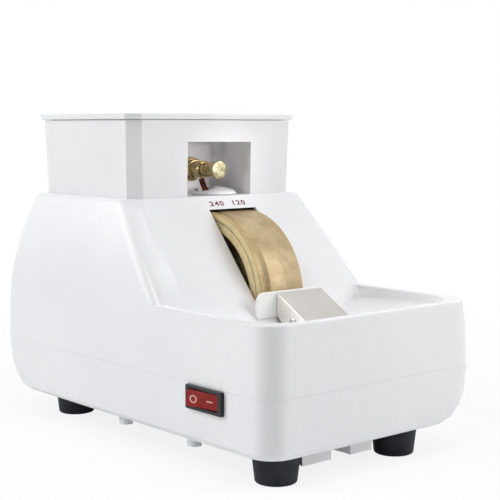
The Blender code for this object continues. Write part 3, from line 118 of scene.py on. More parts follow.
finishLooks = {
    "housing_white": {
        "dark": (0.835, 0.84, 0.865), "light": (0.875, 0.88, 0.90), "cloudScale": 9, "roughness": 0.27,
        "glossSpread": 0.04, "grainScale": 2600, "grainStrength": 0.25, "grainDepth": 0.00003},
    "tank_white": {
        "dark": (0.84, 0.845, 0.865), "light": (0.88, 0.885, 0.90), "cloudScale": 12, "roughness": 0.27,
        "glossSpread": 0.03, "grainScale": 3200, "grainStrength": 0.15, "grainDepth": 0.00002},
    "splash_white": {
        "dark": (0.95, 0.945, 0.915), "light": (0.97, 0.965, 0.945), "cloudScale": 40, "roughness": 0.3,
        "glossSpread": 0.04, "grainScale": 2400, "grainStrength": 0.2, "grainDepth": 0.00002},
    "rest_grey": {
        "dark": (0.48, 0.465, 0.44), "light": (0.53, 0.515, 0.49), "cloudScale": 60, "roughness": 0.36,
        "metallic": 0.8, "glossSpread": 0.08, "grainScale": 1500, "grainStrength": 0.5,
        "grainDepth": 0.00006, "fleck": (0.58, 0.565, 0.54), "fleckShare": 0.5},
    # The rest's end faces: a much paler copy of rest_grey, painted light that brightens the shade on them
    "rest_side": {
        "dark": (0.86, 0.83, 0.79), "light": (0.92, 0.89, 0.85), "cloudScale": 60, "roughness": 0.36,
        "metallic": 0.8, "glossSpread": 0.06, "grainScale": 1500, "grainStrength": 0.4,
        "grainDepth": 0.00005},
    "cover_grey": {
        "dark": (0.80, 0.80, 0.81), "light": (0.86, 0.86, 0.87), "cloudScale": 30, "roughness": 0.4,
        "glossSpread": 0.05, "grainScale": 2200, "grainStrength": 0.3, "grainDepth": 0.00004},
    "foot_rubber": {
        "dark": (0.012, 0.012, 0.017), "light": (0.022, 0.023, 0.031), "cloudScale": 90, "specular": 0.25,
        "roughness": 0.55, "glossSpread": 0.08, "grainScale": 1800, "grainStrength": 0.5,
        "grainDepth": 0.00008},
    "black_plastic": {
        "dark": (0.010, 0.010, 0.012), "light": (0.018, 0.018, 0.021), "cloudScale": 80, "specular": 0.3,
        "roughness": 0.38, "glossSpread": 0.06, "grainScale": 2600, "grainStrength": 0.3,
        "grainDepth": 0.00004},
    "switch_red": {
        "dark": (0.23, 0.018, 0.015), "light": (0.30, 0.026, 0.022), "cloudScale": 110, "roughness": 0.42,
        "specular": 0.12, "glossSpread": 0.03, "grainScale": 3000, "grainStrength": 0.1,
        "grainDepth": 0.00002},
    "knob_brass": {
        "dark": (0.17, 0.15, 0.075), "light": (0.46, 0.42, 0.28), "cloudScale": 330, "cloudDetail": 5,
        "metallic": 1.0, "roughness": 0.4, "glossSpread": 0.08, "grainScale": 1600, "grainStrength": 0.35,
        "grainDepth": 0.00006},
    "valve_brass": {
        "dark": (0.22, 0.155, 0.06), "light": (0.52, 0.40, 0.20), "cloudScale": 260, "cloudDetail": 5,
        "metallic": 1.0, "roughness": 0.2, "glossSpread": 0.08, "grainScale": 1600, "grainStrength": 0.35,
        "grainDepth": 0.00006},
    "spout_copper": {
        "dark": (0.04, 0.013, 0.009), "light": (0.17, 0.060, 0.037), "cloudScale": 420, "cloudDetail": 5,
        "metallic": 1.0, "roughness": 0.26, "glossSpread": 0.1, "grainScale": 2400, "grainStrength": 0.5,
        "grainDepth": 0.00006},
    "fine_bond": {
        "dark": (0.31, 0.222, 0.106), "light": (0.52, 0.40, 0.215), "cloudScale": 75, "cloudDetail": 6,
        "rampLow": 0.3, "rampHigh": 0.66, "metallic": 0.3, "roughness": 0.42, "glossSpread": 0.1,
        "grainScale": 1300, "grainStrength": 0.9, "grainDepth": 0.00016, "fleck": (0.17, 0.115, 0.05),
        "fleckShare": 0.7},
    "coarse_bond": {
        "dark": (0.29, 0.206, 0.098), "light": (0.51, 0.395, 0.214), "cloudScale": 70, "cloudDetail": 8,
        "rampLow": 0.3, "rampHigh": 0.68, "metallic": 0.25, "roughness": 0.45, "glossSpread": 0.1,
        "grainScale": 1150, "grainStrength": 1.0, "grainDepth": 0.00018, "fleck": (0.17, 0.115, 0.05),
        "fleckShare": 0.7},
    # The rim's tan, lightened past its own tone: painted light that lifts the shade inside the wheel's slot.
    # The bands' side faces take it too
    "wheel_aluminium": {
        "dark": (0.74, 0.59, 0.31), "light": (0.86, 0.70, 0.385), "cloudScale": 150, "metallic": 0.1,
        "roughness": 0.4, "glossSpread": 0.06, "grainScale": 1400, "grainStrength": 0.3,
        "grainDepth": 0.00004},
    "motor_aluminium": {
        "dark": (0.62, 0.62, 0.63), "light": (0.74, 0.74, 0.75), "cloudScale": 180, "metallic": 1.0,
        "roughness": 0.42, "glossSpread": 0.08, "grainScale": 900, "grainStrength": 0.5,
        "grainDepth": 0.0001},
    "bright_steel": {
        "dark": (0.54, 0.54, 0.55), "light": (0.66, 0.66, 0.67), "cloudScale": 200, "metallic": 1.0,
        "roughness": 0.24, "glossSpread": 0.06, "grainScale": 1500, "grainStrength": 0.25,
        "grainDepth": 0.00004, "stretch": (6, 1, 1)},
    "bracket_steel": {
        "dark": (0.50, 0.51, 0.54), "light": (0.64, 0.65, 0.68), "cloudScale": 160, "metallic": 1.0,
        "roughness": 0.34, "glossSpread": 0.08, "grainScale": 1200, "grainStrength": 0.3,
        "grainDepth": 0.00005},
    "screw_steel": {
        "dark": (0.48, 0.49, 0.52), "light": (0.64, 0.65, 0.68), "cloudScale": 400, "metallic": 1.0,
        "roughness": 0.27, "glossSpread": 0.06, "grainScale": 3000, "grainStrength": 0.25,
        "grainDepth": 0.00003},
    "lamination": {
        "dark": (0.16, 0.16, 0.17), "light": (0.27, 0.27, 0.29), "cloudScale": 60, "metallic": 1.0,
        "roughness": 0.45, "glossSpread": 0.08, "grainScale": 700, "grainStrength": 0.9,
        "grainDepth": 0.00018, "stretch": (9, 0.4, 0.4)},
    "winding_copper": {
        "dark": (0.24, 0.09, 0.04), "light": (0.42, 0.17, 0.08), "cloudScale": 130, "metallic": 1.0,
        "roughness": 0.34, "glossSpread": 0.06, "grainScale": 800, "grainStrength": 0.9,
        "grainDepth": 0.0002, "stretch": (5, 1, 1)},
    "capacitor_grey": {
        "dark": (0.56, 0.56, 0.57), "light": (0.64, 0.64, 0.65), "cloudScale": 60, "roughness": 0.38,
        "glossSpread": 0.05, "grainScale": 2200, "grainStrength": 0.2, "grainDepth": 0.00003},
    "terminal_beige": {
        "dark": (0.68, 0.65, 0.54), "light": (0.76, 0.73, 0.63), "cloudScale": 70, "roughness": 0.45,
        "glossSpread": 0.05, "grainScale": 2200, "grainStrength": 0.3, "grainDepth": 0.00004},
    "mark_pale": {
        "dark": (0.74, 0.44, 0.40), "light": (0.86, 0.56, 0.51), "cloudScale": 500, "roughness": 0.4,
        "glossSpread": 0.05, "grainScale": 4000, "grainStrength": 0.2, "grainDepth": 0.00002},
    "numeral_red": {
        "dark": (0.10, 0.006, 0.012), "light": (0.17, 0.012, 0.022), "cloudScale": 900, "roughness": 0.45,
        "glossSpread": 0.05, "grainScale": 4000, "grainStrength": 0.2, "grainDepth": 0.00001},
}
finishes = {name: makeFinish(name, look) for name, look in finishLooks.items()}
print("finishes made")


nearby = 0.0001  # places this close count as the same
weldGap = 0.000002  # vertices this close are joined
cadWeldGap = 0.000004
cadFlatAngle = 0.6  # faces of a CAD copy that lie this flat, in degrees, become one
cornerNames = ("front_left", "front_right", "rear_left", "rear_right")


def addObject(name, data):
    item = bpy.data.objects.new(name, data)
    bpy.context.scene.collection.objects.link(item)
    return item


def looseObject(name, shape):
    mesh = bpy.data.meshes.new(name)
    shape.to_mesh(mesh)
    shape.free()
    return addObject(name, mesh)


# A closed outline of (along, radius) points turned round an upright or a level axis. A side that lies on the
# axis is left out
def spinShape(outline, axis, centre, steps):
    shape = bmesh.new()
    direction = Vector(axis)
    across = Vector((1, 0, 0)) if direction.z else Vector((0, 0, 1))
    middle = Vector(centre)
    points = [shape.verts.new(middle + direction * along + across * radius) for along, radius in outline]
    edges = []
    for index, point in enumerate(points):
        following = (index + 1) % len(points)
        if outline[index][1] or outline[following][1]:
            edges.append(shape.edges.new((point, points[following])))
    bmesh.ops.spin(shape, geom=points + edges, cent=middle, axis=direction, angle=math.tau,
                   steps=steps, use_merge=True)
    bmesh.ops.remove_doubles(shape, verts=shape.verts, dist=weldGap)
    bmesh.ops.recalc_face_normals(shape, faces=shape.faces)
    return shape


# Outline points, each from a named place, what is added to it, a named radius and what is added to that
def outlineOf(rows, sizes):
    return [(sizes[place] + shift, sizes[radius] + change) for place, shift, radius, change in rows]


# A block between two corners
def blockShape(low, high):
    shape = bmesh.new()
    low, high = Vector(low), Vector(high)
    bmesh.ops.create_cube(shape, size=1)
    bmesh.ops.scale(shape, vec=high - low, verts=shape.verts)
    bmesh.ops.translate(shape, vec=(low + high) / 2, verts=shape.verts)
    return shape


# A copy of a CAD node's mesh with its loose triangles joined and its flat faces made whole
def copyShape(node):
    shape = bmesh.new()
    shape.from_mesh(frame["nodes"][node].data)
    bmesh.ops.remove_doubles(shape, verts=shape.verts, dist=cadWeldGap)
    bmesh.ops.dissolve_limit(shape, angle_limit=math.radians(cadFlatAngle), verts=shape.verts,
                             edges=shape.edges)
    return shape


# The mesh of a curve or of a text
def curveShape(data, weld):
    holder = addObject(data.name, data)
    bpy.context.view_layer.update()
    shape = bmesh.new()
    shape.from_mesh(bpy.data.meshes.new_from_object(
        holder.evaluated_get(bpy.context.evaluated_depsgraph_get())))
    bpy.data.objects.remove(holder, do_unlink=True)
    bmesh.ops.remove_doubles(shape, verts=shape.verts, dist=weld)
    return shape


# Rounds the edges that are sharper than an angle and that a test picks
def roundEdges(shape, offset, segments=2, sharper=35, pick=None, clamp=True):
    edges = [edge for edge in shape.edges
             if len(edge.link_faces) == 2 and edge.calc_face_angle() > math.radians(sharper)
             and (pick is None or pick(edge))]
    if edges:
        bmesh.ops.bevel(shape, geom=edges, offset=offset, offset_type="OFFSET", affect="EDGES",
                        segments=segments, profile=0.5, material=-1, clamp_overlap=clamp)


# Moves the vertices whose places a test picks
def moveVerts(shape, move, pick):
    bmesh.ops.translate(shape, vec=move, verts=[vert for vert in shape.verts if pick(vert.co)])


# Joins or cuts one shape with others by Blender's exact Boolean, and gives the result as a new shape
def combine(shape, others, operation="DIFFERENCE"):
    piece = looseObject("combinePiece", shape)
    cutters = [looseObject("combineCutter", other) for other in others]
    for cutter in cutters:
        change = piece.modifiers.new("change", "BOOLEAN")
        change.operation = operation
        change.object = cutter
        change.solver = "EXACT"
    result = bmesh.new()
    result.from_object(piece, bpy.context.evaluated_depsgraph_get())
    for item in [piece] + cutters:
        bpy.data.objects.remove(item, do_unlink=True)
    bmesh.ops.remove_doubles(result, verts=result.verts, dist=weldGap)
    return result


# A finished piece: its finish, smooth shading with weighted normals, its body and the CAD node it stands for.
# Where some faces have another finish, second names it and gives a test that picks them
def makePiece(name, shape, slot, body, node=None, finish=None, second=None, smooth=30, weighted=True):
    materials = [finishes[finish or slot]]
    if second:
        secondFinish, pick = second
        materials.append(finishes[secondFinish])
        shape.normal_update()
        for face in shape.faces:
            face.material_index = int(pick(face))
    piece = looseObject(name, shape)
    for material in materials:
        piece.data.materials.append(material)
    piece.data.shade_smooth()
    piece.data.set_sharp_from_angle(angle=math.radians(smooth))
    if weighted:
        normals = piece.modifiers.new("normals", "WEIGHTED_NORMAL")
        normals.keep_sharp = True
        normals.weight = 60
    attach(piece, body)
    if node:
        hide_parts(node)


# foot_front_left gives footFrontLeft
def pieceName(node):
    first, *others = node.split("_")
    return first + "".join(word.capitalize() for word in others)


def middleOf(node):
    low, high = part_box(node)
    return (low + high) / 2


# The middle of a node's box, at a height
def middleAt(node, height):
    middle = middleOf(node)
    return Vector((middle.x, middle.y, height))


# Casing: the two moulded shells, with the rims and the slot's edges rounded, and the seam closed up
casingLook = {"rimHeight": 0.0885, "rimRound": 0.0005, "rimNear": 0.0002, "rimShortest": 0.001,
              "slotLow": (-0.0088, -0.0600, 0.0758), "slotHigh": (0.0298, 0.0100, 0.1391),
              "slotRound": 0.0004, "sharper": 40, "seamHeight": 0.0498, "seamClose": 0.00022}


def makeCasing(look):
    slotLow, slotHigh = Vector(look["slotLow"]), Vector(look["slotHigh"])

    def onRim(edge):
        level = all(abs(vert.co.z - look["rimHeight"]) < look["rimNear"] for vert in edge.verts)
        return level and edge.calc_length() > look["rimShortest"]

    def onSlot(edge):
        return all(low <= place <= high for vert in edge.verts
                   for low, place, high in zip(slotLow, vert.co, slotHigh))

    upper = copyShape("upper_housing")
    roundEdges(upper, look["rimRound"], sharper=look["sharper"], pick=onRim, clamp=False)
    roundEdges(upper, look["slotRound"], sharper=look["sharper"], pick=onSlot, clamp=False)
    moveVerts(upper, (0, 0, -look["seamClose"]), lambda place: place.z < look["seamHeight"] + nearby)
    makePiece("upperShell", upper, "housing_white", "housing", "upper_housing")
    makePiece("lowerShell", copyShape("lower_housing"), "housing_white", "housing", "lower_housing")


# Water tank and lid, as moulded shells with softened edges. The tank's foot reaches down to the deck
tankLook = {"edgeRound": 0.0006, "footClose": 0.00026, "lidRound": 0.0007, "lidSegments": 3}


def makeTank(look):
    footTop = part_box("water_tank")[0].z + nearby
    tank = copyShape("water_tank")
    roundEdges(tank, look["edgeRound"], pick=lambda edge: all(vert.co.z > footTop for vert in edge.verts))
    moveVerts(tank, (0, 0, -look["footClose"]), lambda place: place.z < footTop)
    makePiece("waterTank", tank, "tank_white", "housing", "water_tank")
    lid = copyShape("tank_lid")
    roundEdges(lid, look["lidRound"], look["lidSegments"])
    makePiece("tankLid", lid, "tank_white", "lid", "tank_lid")


# Rubber feet: a tapered plug with a rounded sole and a counterbore for its screw
footLook = {"soleRadius": 0.01175, "soleRound": 0.0015, "soleSteps": 6, "topRound": 0.0005,
            "topDraft": 0.00015, "bore": 0.0048, "boreDepth": 0.0085, "hole": 0.0025, "steps": 72}


def makeFeet(look):
    for corner in cornerNames:
        node = "foot_" + corner
        low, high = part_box(node)
        top = (high.x - low.x) / 2
        height = high.z - low.z
        curve = look["soleRound"]
        sole = look["soleRadius"] - curve
        outline = [(0, look["bore"]), (0, sole)]
        for step in range(1, look["soleSteps"] + 1):
            turn = math.pi / 2 * step / look["soleSteps"]
            outline.append((curve - curve * math.cos(turn), sole + curve * math.sin(turn)))
        outline += [(height - look["topRound"], top - look["topDraft"]), (height, top - look["topRound"]),
                    (height, look["hole"]), (look["boreDepth"], look["hole"]),
                    (look["boreDepth"], look["bore"])]
        shape = spinShape(outline, (0, 0, 1), middleAt(node, low.z), look["steps"])
        makePiece(pieceName(node), shape, "foot_rubber", "housing", node)


# Screws: a domed head with a cross recess, and a shank with a thread of fine rings. The head's points are
# shares of its height and radius, the cross's sizes of the head's and the tip's of the shank's radius. Each
# kind of screw has its head's radius, its head's height and its shank's radius
screwLook = {"headPoints": ((0, 0), (0.04, 0.45), (0.2, 0.78), (0.5, 0.96), (0.75, 1), (1, 1)),
             "tipLength": 0.4, "tipRadius": 0.45, "pitch": 0.0007, "threadSlope": 0.3, "threadDepth": 0.00022,
             "crossWidth": 0.22, "crossReach": 0.62, "crossDepth": 0.55, "steps": 32,
             "sizes": {"case": (0.0032, 0.0022, 0.0017), "cover": (0.0032, 0.0022, 0.0017),
                       "foot": (0.0042, 0.0026, 0.0021), "rest": (0.0020, 0.0015, 0.0012)},
             "sideways": {"rest_screw_left": (1, 0, 0), "rest_screw_right": (-1, 0, 0)}}


def makeScrew(node, look):
    headRadius, headHeight, shankRadius = look["sizes"][node.split("_")[0]]
    direction = Vector(look["sideways"].get(node, (0, 0, 1)))
    low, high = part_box(node)
    reach = abs((high - low).dot(direction)) / 2
    start = middleOf(node) - direction * reach
    length = reach * 2 - headHeight
    root = shankRadius - look["threadDepth"]
    outline = [(headHeight * along, headRadius * across) for along, across in look["headPoints"]]
    outline.append((headHeight, shankRadius))
    for turn in range(1, int((length - shankRadius) / look["pitch"])):
        along = headHeight + turn * look["pitch"]
        outline += [(along - look["pitch"] * look["threadSlope"], root), (along, shankRadius)]
    end = headHeight + length
    outline += [(end - shankRadius * look["tipLength"], root), (end, shankRadius * look["tipRadius"]),
                (end, 0)]
    screw = spinShape(outline, direction, start, look["steps"])

    side = direction.orthogonal().normalized()
    other = direction.cross(side)
    bars = []
    for arm, wide in ((side, other), (other, side)):
        spread = Matrix((arm * headRadius * look["crossReach"] * 2, wide * headRadius * look["crossWidth"],
                         direction * headHeight * look["crossDepth"] * 2)).transposed()
        bar = bmesh.new()
        bmesh.ops.create_cube(bar, size=1)
        bmesh.ops.transform(bar, matrix=Matrix.Translation(start) @ spread.to_4x4(), verts=bar.verts)
        bmesh.ops.recalc_face_normals(bar, faces=bar.faces)
        bars.append(bar)
    makePiece(pieceName(node), combine(screw, bars), "screw_steel", "housing", node, weighted=False)


def makeScrews(look):
    nodes = [f"case_screw_{number}" for number in range(1, 5)]
    nodes += [f"cover_screw_{number}" for number in range(1, 3)]
    nodes += ["foot_screw_" + corner for corner in cornerNames]
    for node in nodes + ["rest_screw_left", "rest_screw_right"]:
        makeScrew(node, look)


# Splash plate and lens rest, with folded edges. The rest's ends take a much paler finish, painted light that
# lifts the shade on them, and its back edge reaches the splash plate
plateLook = {"plateRound": 0.0006, "plateSegments": 3, "restRound": 0.00045, "restShortest": 0.003,
             "restClose": 0.00027, "paintedLightEndNormal": 0.8}


def makePlates(look):
    plate = copyShape("splash_plate")
    roundEdges(plate, look["plateRound"], look["plateSegments"])
    makePiece("splashPlate", plate, "splash_white", "housing", "splash_plate")
    rest = copyShape("lens_rest")
    roundEdges(rest, look["restRound"], pick=lambda edge: edge.calc_length() > look["restShortest"])
    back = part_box("lens_rest")[1].y - nearby
    moveVerts(rest, (0, look["restClose"], 0), lambda place: place.y > back)
    makePiece("lensRest", rest, "rest_grey", "housing", "lens_rest",
              second=("rest_side", lambda face: abs(face.normal.x) > look["paintedLightEndNormal"]))


# Bottom cover with its two blocks
coverLook = {"edgeRound": 0.0004, "shortest": 0.003}


def makeCover(look):
    cover = copyShape("bottom_cover")
    roundEdges(cover, look["edgeRound"], pick=lambda edge: edge.calc_length() > look["shortest"])
    makePiece("bottomCover", cover, "cover_grey", "housing", "bottom_cover")


# Grinding wheel: a fine band with two scribed lines and a groove, and a coarse band, on a turned rim
wheelLook = {"radius": 0.053, "bond": 0.0039, "edgeRound": 0.0002, "jointRound": 0.00003, "jointLap": 0.00014,
             "scribes": (0.0009, 0.0025), "scribeHalf": 0.00026, "scribeDepth": 0.0009,
             "land": 0.0036, "groove": 0.0047, "grooveDepth": 0.0019, "ringGap": 0.0006, "rimDepth": 0.0055,
             "paintedLightSideNormal": 0.95, "smooth": 25, "steps": 160}


# The cuts in the fine band's face, from its left edge
def grooveOutline(look):
    radius, edge = look["radius"], look["edgeRound"]
    points = []
    for scribe in look["scribes"]:
        points += [(scribe - look["scribeHalf"], radius), (scribe, radius - look["scribeDepth"]),
                   (scribe + look["scribeHalf"], radius)]
    near, far = look["land"], look["land"] + look["groove"]
    middle = (near + far) / 2
    bottom = radius - look["grooveDepth"] + edge
    return points + [(near - edge, radius), (near, radius - edge / 2), (middle - edge, bottom),
                     (middle + edge, bottom), (far, radius - edge / 2), (far + edge, radius)]


# One bonded band between two ends, with how far each of its edges is rounded and the cuts in its face
def makeBand(name, node, slot, ends, rounds, cuts, look):
    centre = middleOf("wheel_rim")
    start, width = ends[0], ends[1] - ends[0]
    first, last = rounds
    radius = look["radius"]
    inner = radius - look["bond"]
    outline = [(0, inner), (0, radius - first), (first, radius)] + cuts
    outline += [(width - last, radius), (width, radius - last), (width, inner)]
    shape = spinShape(outline, (1, 0, 0), (start, centre.y, centre.z), look["steps"])
    # The band's side faces take the rim's lightened finish, painted light against the slot's shade
    makePiece(name, shape, slot, "wheel_spindle", node, smooth=look["smooth"],
              second=("wheel_aluminium", lambda face: abs(face.normal.x) > look["paintedLightSideNormal"]))


def makeWheel(look):
    edge, joint, lap = look["edgeRound"], look["jointRound"], look["jointLap"]
    low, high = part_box("fine_grinding_band")
    makeBand("fineBand", "fine_grinding_band", "fine_bond", (low.x, high.x + lap), (edge, joint),
             grooveOutline(look), look)
    low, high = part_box("coarse_grinding_band")
    makeBand("coarseBand", "coarse_grinding_band", "coarse_bond", (low.x - lap, high.x), (joint, edge),
             [], look)

    low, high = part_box("wheel_rim")
    centre = middleOf("wheel_rim")
    width = high.x - low.x
    outer = look["radius"] - look["bond"] - look["ringGap"]
    bore = outer - look["rimDepth"]
    outline = [(0, bore + edge), (0, outer), (width, outer), (width, bore + edge), (width - edge, bore),
               (edge, bore)]
    shape = spinShape(outline, (1, 0, 0), (low.x, centre.y, centre.z), look["steps"])
    makePiece("wheelRim", shape, "wheel_aluminium", "wheel_spindle", "wheel_rim", smooth=look["smooth"])


# Water valve: a turned brass body. Places along it are measured from the back of its flange
valveLook = {
    "axis": 0, "seat": 0, "threadEnd": 0.0105, "flangeFront": -0.0045, "shoulderFront": -0.0078,
    "ringBack": -0.0149, "front": -0.0168, "thread": 0.0047, "flange": 0.0079, "shoulder": 0.0065,
    "body": 0.0054, "ring": 0.0059, "neck": 0.0048, "bore": 0.0020, "steps": 96,
    "points": (
        ("threadEnd", 0, "axis", 0), ("threadEnd", 0, "thread", -0.0004), ("threadEnd", -0.0004, "thread", 0),
        ("seat", 0, "thread", 0), ("seat", 0, "flange", -0.0004), ("seat", -0.0004, "flange", 0),
        ("flangeFront", 0.0010, "flange", 0), ("flangeFront", 0.0003, "flange", -0.0003),
        ("flangeFront", 0, "flange", -0.0009), ("flangeFront", 0, "shoulder", 0),
        ("shoulderFront", 0.0006, "shoulder", 0), ("shoulderFront", 0.0002, "shoulder", -0.0002),
        ("shoulderFront", 0, "shoulder", -0.0006), ("shoulderFront", 0, "body", 0),
        ("ringBack", 0.0003, "body", 0), ("ringBack", 0, "body", -0.0003), ("ringBack", 0, "ring", -0.0002),
        ("ringBack", -0.0003, "ring", 0), ("front", 0.0004, "ring", 0), ("front", 0, "ring", -0.0004),
        ("front", 0, "neck", 0), ("neckEnd", 0.0030, "neck", 0), ("neckEnd", 0.0024, "neck", -0.0007),
        ("neckEnd", 0.0012, "neck", -0.0007), ("neckEnd", 0.0008, "neck", -0.0002),
        ("neckEnd", 0.0003, "neck", -0.0002), ("neckEnd", 0, "neck", -0.0006), ("neckEnd", 0, "bore", 0),
        ("neckEnd", 0.0140, "bore", 0), ("neckEnd", 0.0140, "axis", 0)),
}


def makeValve(look):
    low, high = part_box("valve_body")
    seat = Vector(((low.x + high.x) / 2, high.y - look["threadEnd"], (low.z + high.z) / 2))
    outline = outlineOf(look["points"], {**look, "neckEnd": low.y - seat.y})
    makePiece("valveBody", spinShape(outline, (0, 1, 0), seat, look["steps"]), "valve_brass", "housing",
              "valve_body", weighted=False)


# Knob: a fluted head on a stalk, which is bored for the valve's stem
knobLook = {
    "axis": 0, "face": 0, "head": 0.00605, "dish": 0.003025, "waist": 0.0042, "bore": valveLook["bore"],
    "headLength": 0.0021, "flutes": 40, "fluteDepth": 0.00018,
    "points": (
        ("face", 0.00005, "axis", 0), ("face", 0, "dish", 0), ("face", 0.00006, "head", -0.0008),
        ("face", 0.0003, "head", -0.0003), ("face", 0.0006, "head", 0), ("face", 0.0020, "head", 0),
        ("face", 0.0024, "head", -0.0004), ("face", 0.0026, "waist", 0.0007), ("face", 0.0030, "waist", 0),
        ("end", -0.0014, "waist", 0), ("end", -0.0011, "waist", 0.0004), ("end", -0.0005, "waist", 0.0004),
        ("end", 0, "waist", -0.0002), ("end", 0, "bore", 0), ("end", -0.0045, "bore", 0),
        ("end", -0.0045, "axis", 0)),
}


def makeKnob(look):
    low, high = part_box("valve_knob")
    centre = (low + high) / 2
    steps = look["flutes"] * 2
    outline = outlineOf(look["points"], {**look, "end": high.y - low.y})
    knob = spinShape(outline, (0, 1, 0), (centre.x, low.y, centre.z), steps)
    for vert in knob.verts:
        away = Vector((vert.co.x - centre.x, 0, vert.co.z - centre.z))
        turn = math.atan2(away.z, away.x)
        if away.length > look["head"] - nearby and round(turn / math.tau * steps) % 2:
            vert.co -= away.normalized() * look["fluteDepth"]
    stalkStart = low.y + look["headLength"]
    makePiece("valveKnob", knob, "valve_brass", "knob", "valve_knob", "knob_brass", weighted=False,
              second=("valve_brass", lambda face: face.calc_center_median().y > stalkStart))


# Spout: a bent copper tube from the valve's body to the collar. Its ends lie in from the node's box by shares
# of its radius, and it bends below its top by a share of its height
spoutLook = {"radius": 0.0019, "wall": 0.0005, "topIn": 1.02, "topDown": 0.0001, "bottomUp": 0.55,
             "bend": 0.25, "steps": 24, "sides": 8}


def makeSpout(look):
    low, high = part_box("valve_spout")
    across = (low.x + high.x) / 2
    top = Vector((across, high.y - look["radius"] * look["topIn"], high.z - look["topDown"]))
    bottom = Vector((across, low.y + look["radius"], low.z + look["radius"] * look["bottomUp"]))
    shoulder = top.lerp(bottom, look["bend"])
    shoulder.y = top.y
    path = bpy.data.curves.new("spoutPath", "CURVE")
    path.dimensions = "3D"
    path.bevel_depth = look["radius"]
    path.bevel_resolution = look["sides"]
    line = path.splines.new("POLY")
    line.points.add(look["steps"])
    for index, point in enumerate(line.points):
        share = index / look["steps"]
        point.co = (*top.lerp(shoulder, share).lerp(shoulder.lerp(bottom, share), share), 1)
    spout = curveShape(path, weldGap)
    bmesh.ops.recalc_face_normals(spout, faces=spout.faces)
    bmesh.ops.solidify(spout, geom=spout.faces, thickness=look["wall"])
    makePiece("valveSpout", spout, "spout_copper", "housing", "valve_spout", weighted=False)


# Drip collar: a low dome with a bored neck under it. The bore opens as a funnel below the spout
collarLook = {"radius": 0.0150, "height": 0.0050, "lift": 0.0003, "edgeRound": 0.0003, "domeSteps": 16,
              "steps": 96, "neck": 0.0060, "neckTop": 0.00125, "bore": 0.0046, "boreEase": 0.0008,
              "funnel": 0.0066, "funnelRise": 0.0010, "funnelRound": 0.0006, "dripShift": 0.0012,
              "neckSteps": 48}


def makeCollar(look):
    low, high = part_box("drip_collar")
    height, radius, funnel = look["height"], look["radius"], look["funnel"]
    rise, curve, bore = look["funnelRise"], look["funnelRound"], look["bore"]
    centre = middleAt("drip_collar", high.z - height)
    drip = (middleOf("valve_body").x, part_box("valve_spout")[0].y + spoutLook["radius"] + look["dripShift"],
            centre.z)
    edge = look["lift"] + look["edgeRound"]
    outline = [(look["lift"], 0), (look["lift"], radius - look["edgeRound"]), (edge, radius)]
    for step in range(1, look["domeSteps"]):
        turn = math.pi / 2 * step / look["domeSteps"]
        outline.append((edge + (height - edge) * math.sin(turn), radius * math.cos(turn)))
    outline.append((height, 0))
    dome = spinShape(outline, (0, 0, 1), centre, look["steps"])

    below = low.z - centre.z
    outline = [(below, 0), (below, look["neck"]), (look["neckTop"], look["neck"]), (look["neckTop"], 0)]
    neck = spinShape(outline, (0, 0, 1), drip, look["neckSteps"])
    outline = [(below - height, 0), (below - height, bore), (rise - look["boreEase"], bore),
               (rise, bore + curve), (rise, funnel - curve), (rise + curve, funnel), (height * 2, funnel),
               (height * 2, 0)]
    hole = spinShape(outline, (0, 0, 1), drip, look["neckSteps"])
    shape = combine(combine(dome, [neck], "UNION"), [hole])
    makePiece("dripCollar", shape, "housing_white", "housing", "drip_collar", weighted=False)


# Rocker switch: a bezel with a barrel behind it, a hollow red rocker and its two marks
switchLook = {"thickness": 0.0020, "cornerRound": 0.0009, "edgeRound": 0.0005, "segments": 3,
              "barrel": (0.0160, 0.0270, 0.0114), "barrelLap": 0.0002, "pocket": (0.0250, 0.0098),
              "pocketDepth": 0.0095, "pocketProud": 0.002, "mouthRound": 0.0003, "mouthSharper": 60,
              "pivotDepth": 0.0010, "restTurn": 9, "rockerHalf": (0.0120, 0.0045), "valley": 0.0013,
              "wing": 0.0020, "rockerDepth": 0.0035, "root": 0.0040, "rockerRound": 0.0006,
              "circlePlace": 0.0066, "circleRadius": 0.0019, "circleStretch": 1.12, "circleSteps": 48,
              "barPlace": -0.0056, "barLength": 0.0048, "markWidth": 0.0006, "markRise": 0.00012}


def makeBezel(low, high, look):
    middle = (low + high) / 2
    face, back = low.x, low.x + look["thickness"]
    depth, length, height = look["barrel"]
    pocketLength, pocketHeight = look["pocket"]
    bezel = blockShape(low, (back, high.y, high.z))
    roundEdges(bezel, look["cornerRound"], look["segments"],
               pick=lambda edge: abs(edge.verts[0].co.x - edge.verts[1].co.x) > look["thickness"] / 2)
    roundEdges(bezel, look["edgeRound"], look["segments"],
               pick=lambda edge: all(vert.co.x < face + nearby for vert in edge.verts))
    barrel = blockShape((back - look["barrelLap"], middle.y - length / 2, middle.z - height / 2),
                        (back + depth, middle.y + length / 2, middle.z + height / 2))
    pocket = blockShape(
        (face - look["pocketProud"], middle.y - pocketLength / 2, middle.z - pocketHeight / 2),
        (face + look["pocketDepth"], middle.y + pocketLength / 2, middle.z + pocketHeight / 2))
    shape = combine(combine(bezel, [barrel], "UNION"), [pocket])
    roundEdges(shape, look["mouthRound"], sharper=look["mouthSharper"], pick=lambda edge: all(
        abs(vert.co.x - face) < nearby and abs(vert.co.y - middle.y) < pocketLength / 2 + nearby
        and abs(vert.co.z - middle.z) < pocketHeight / 2 + nearby for vert in edge.verts))
    makePiece("switchBezel", shape, "black_plastic", "housing", "switch_body")


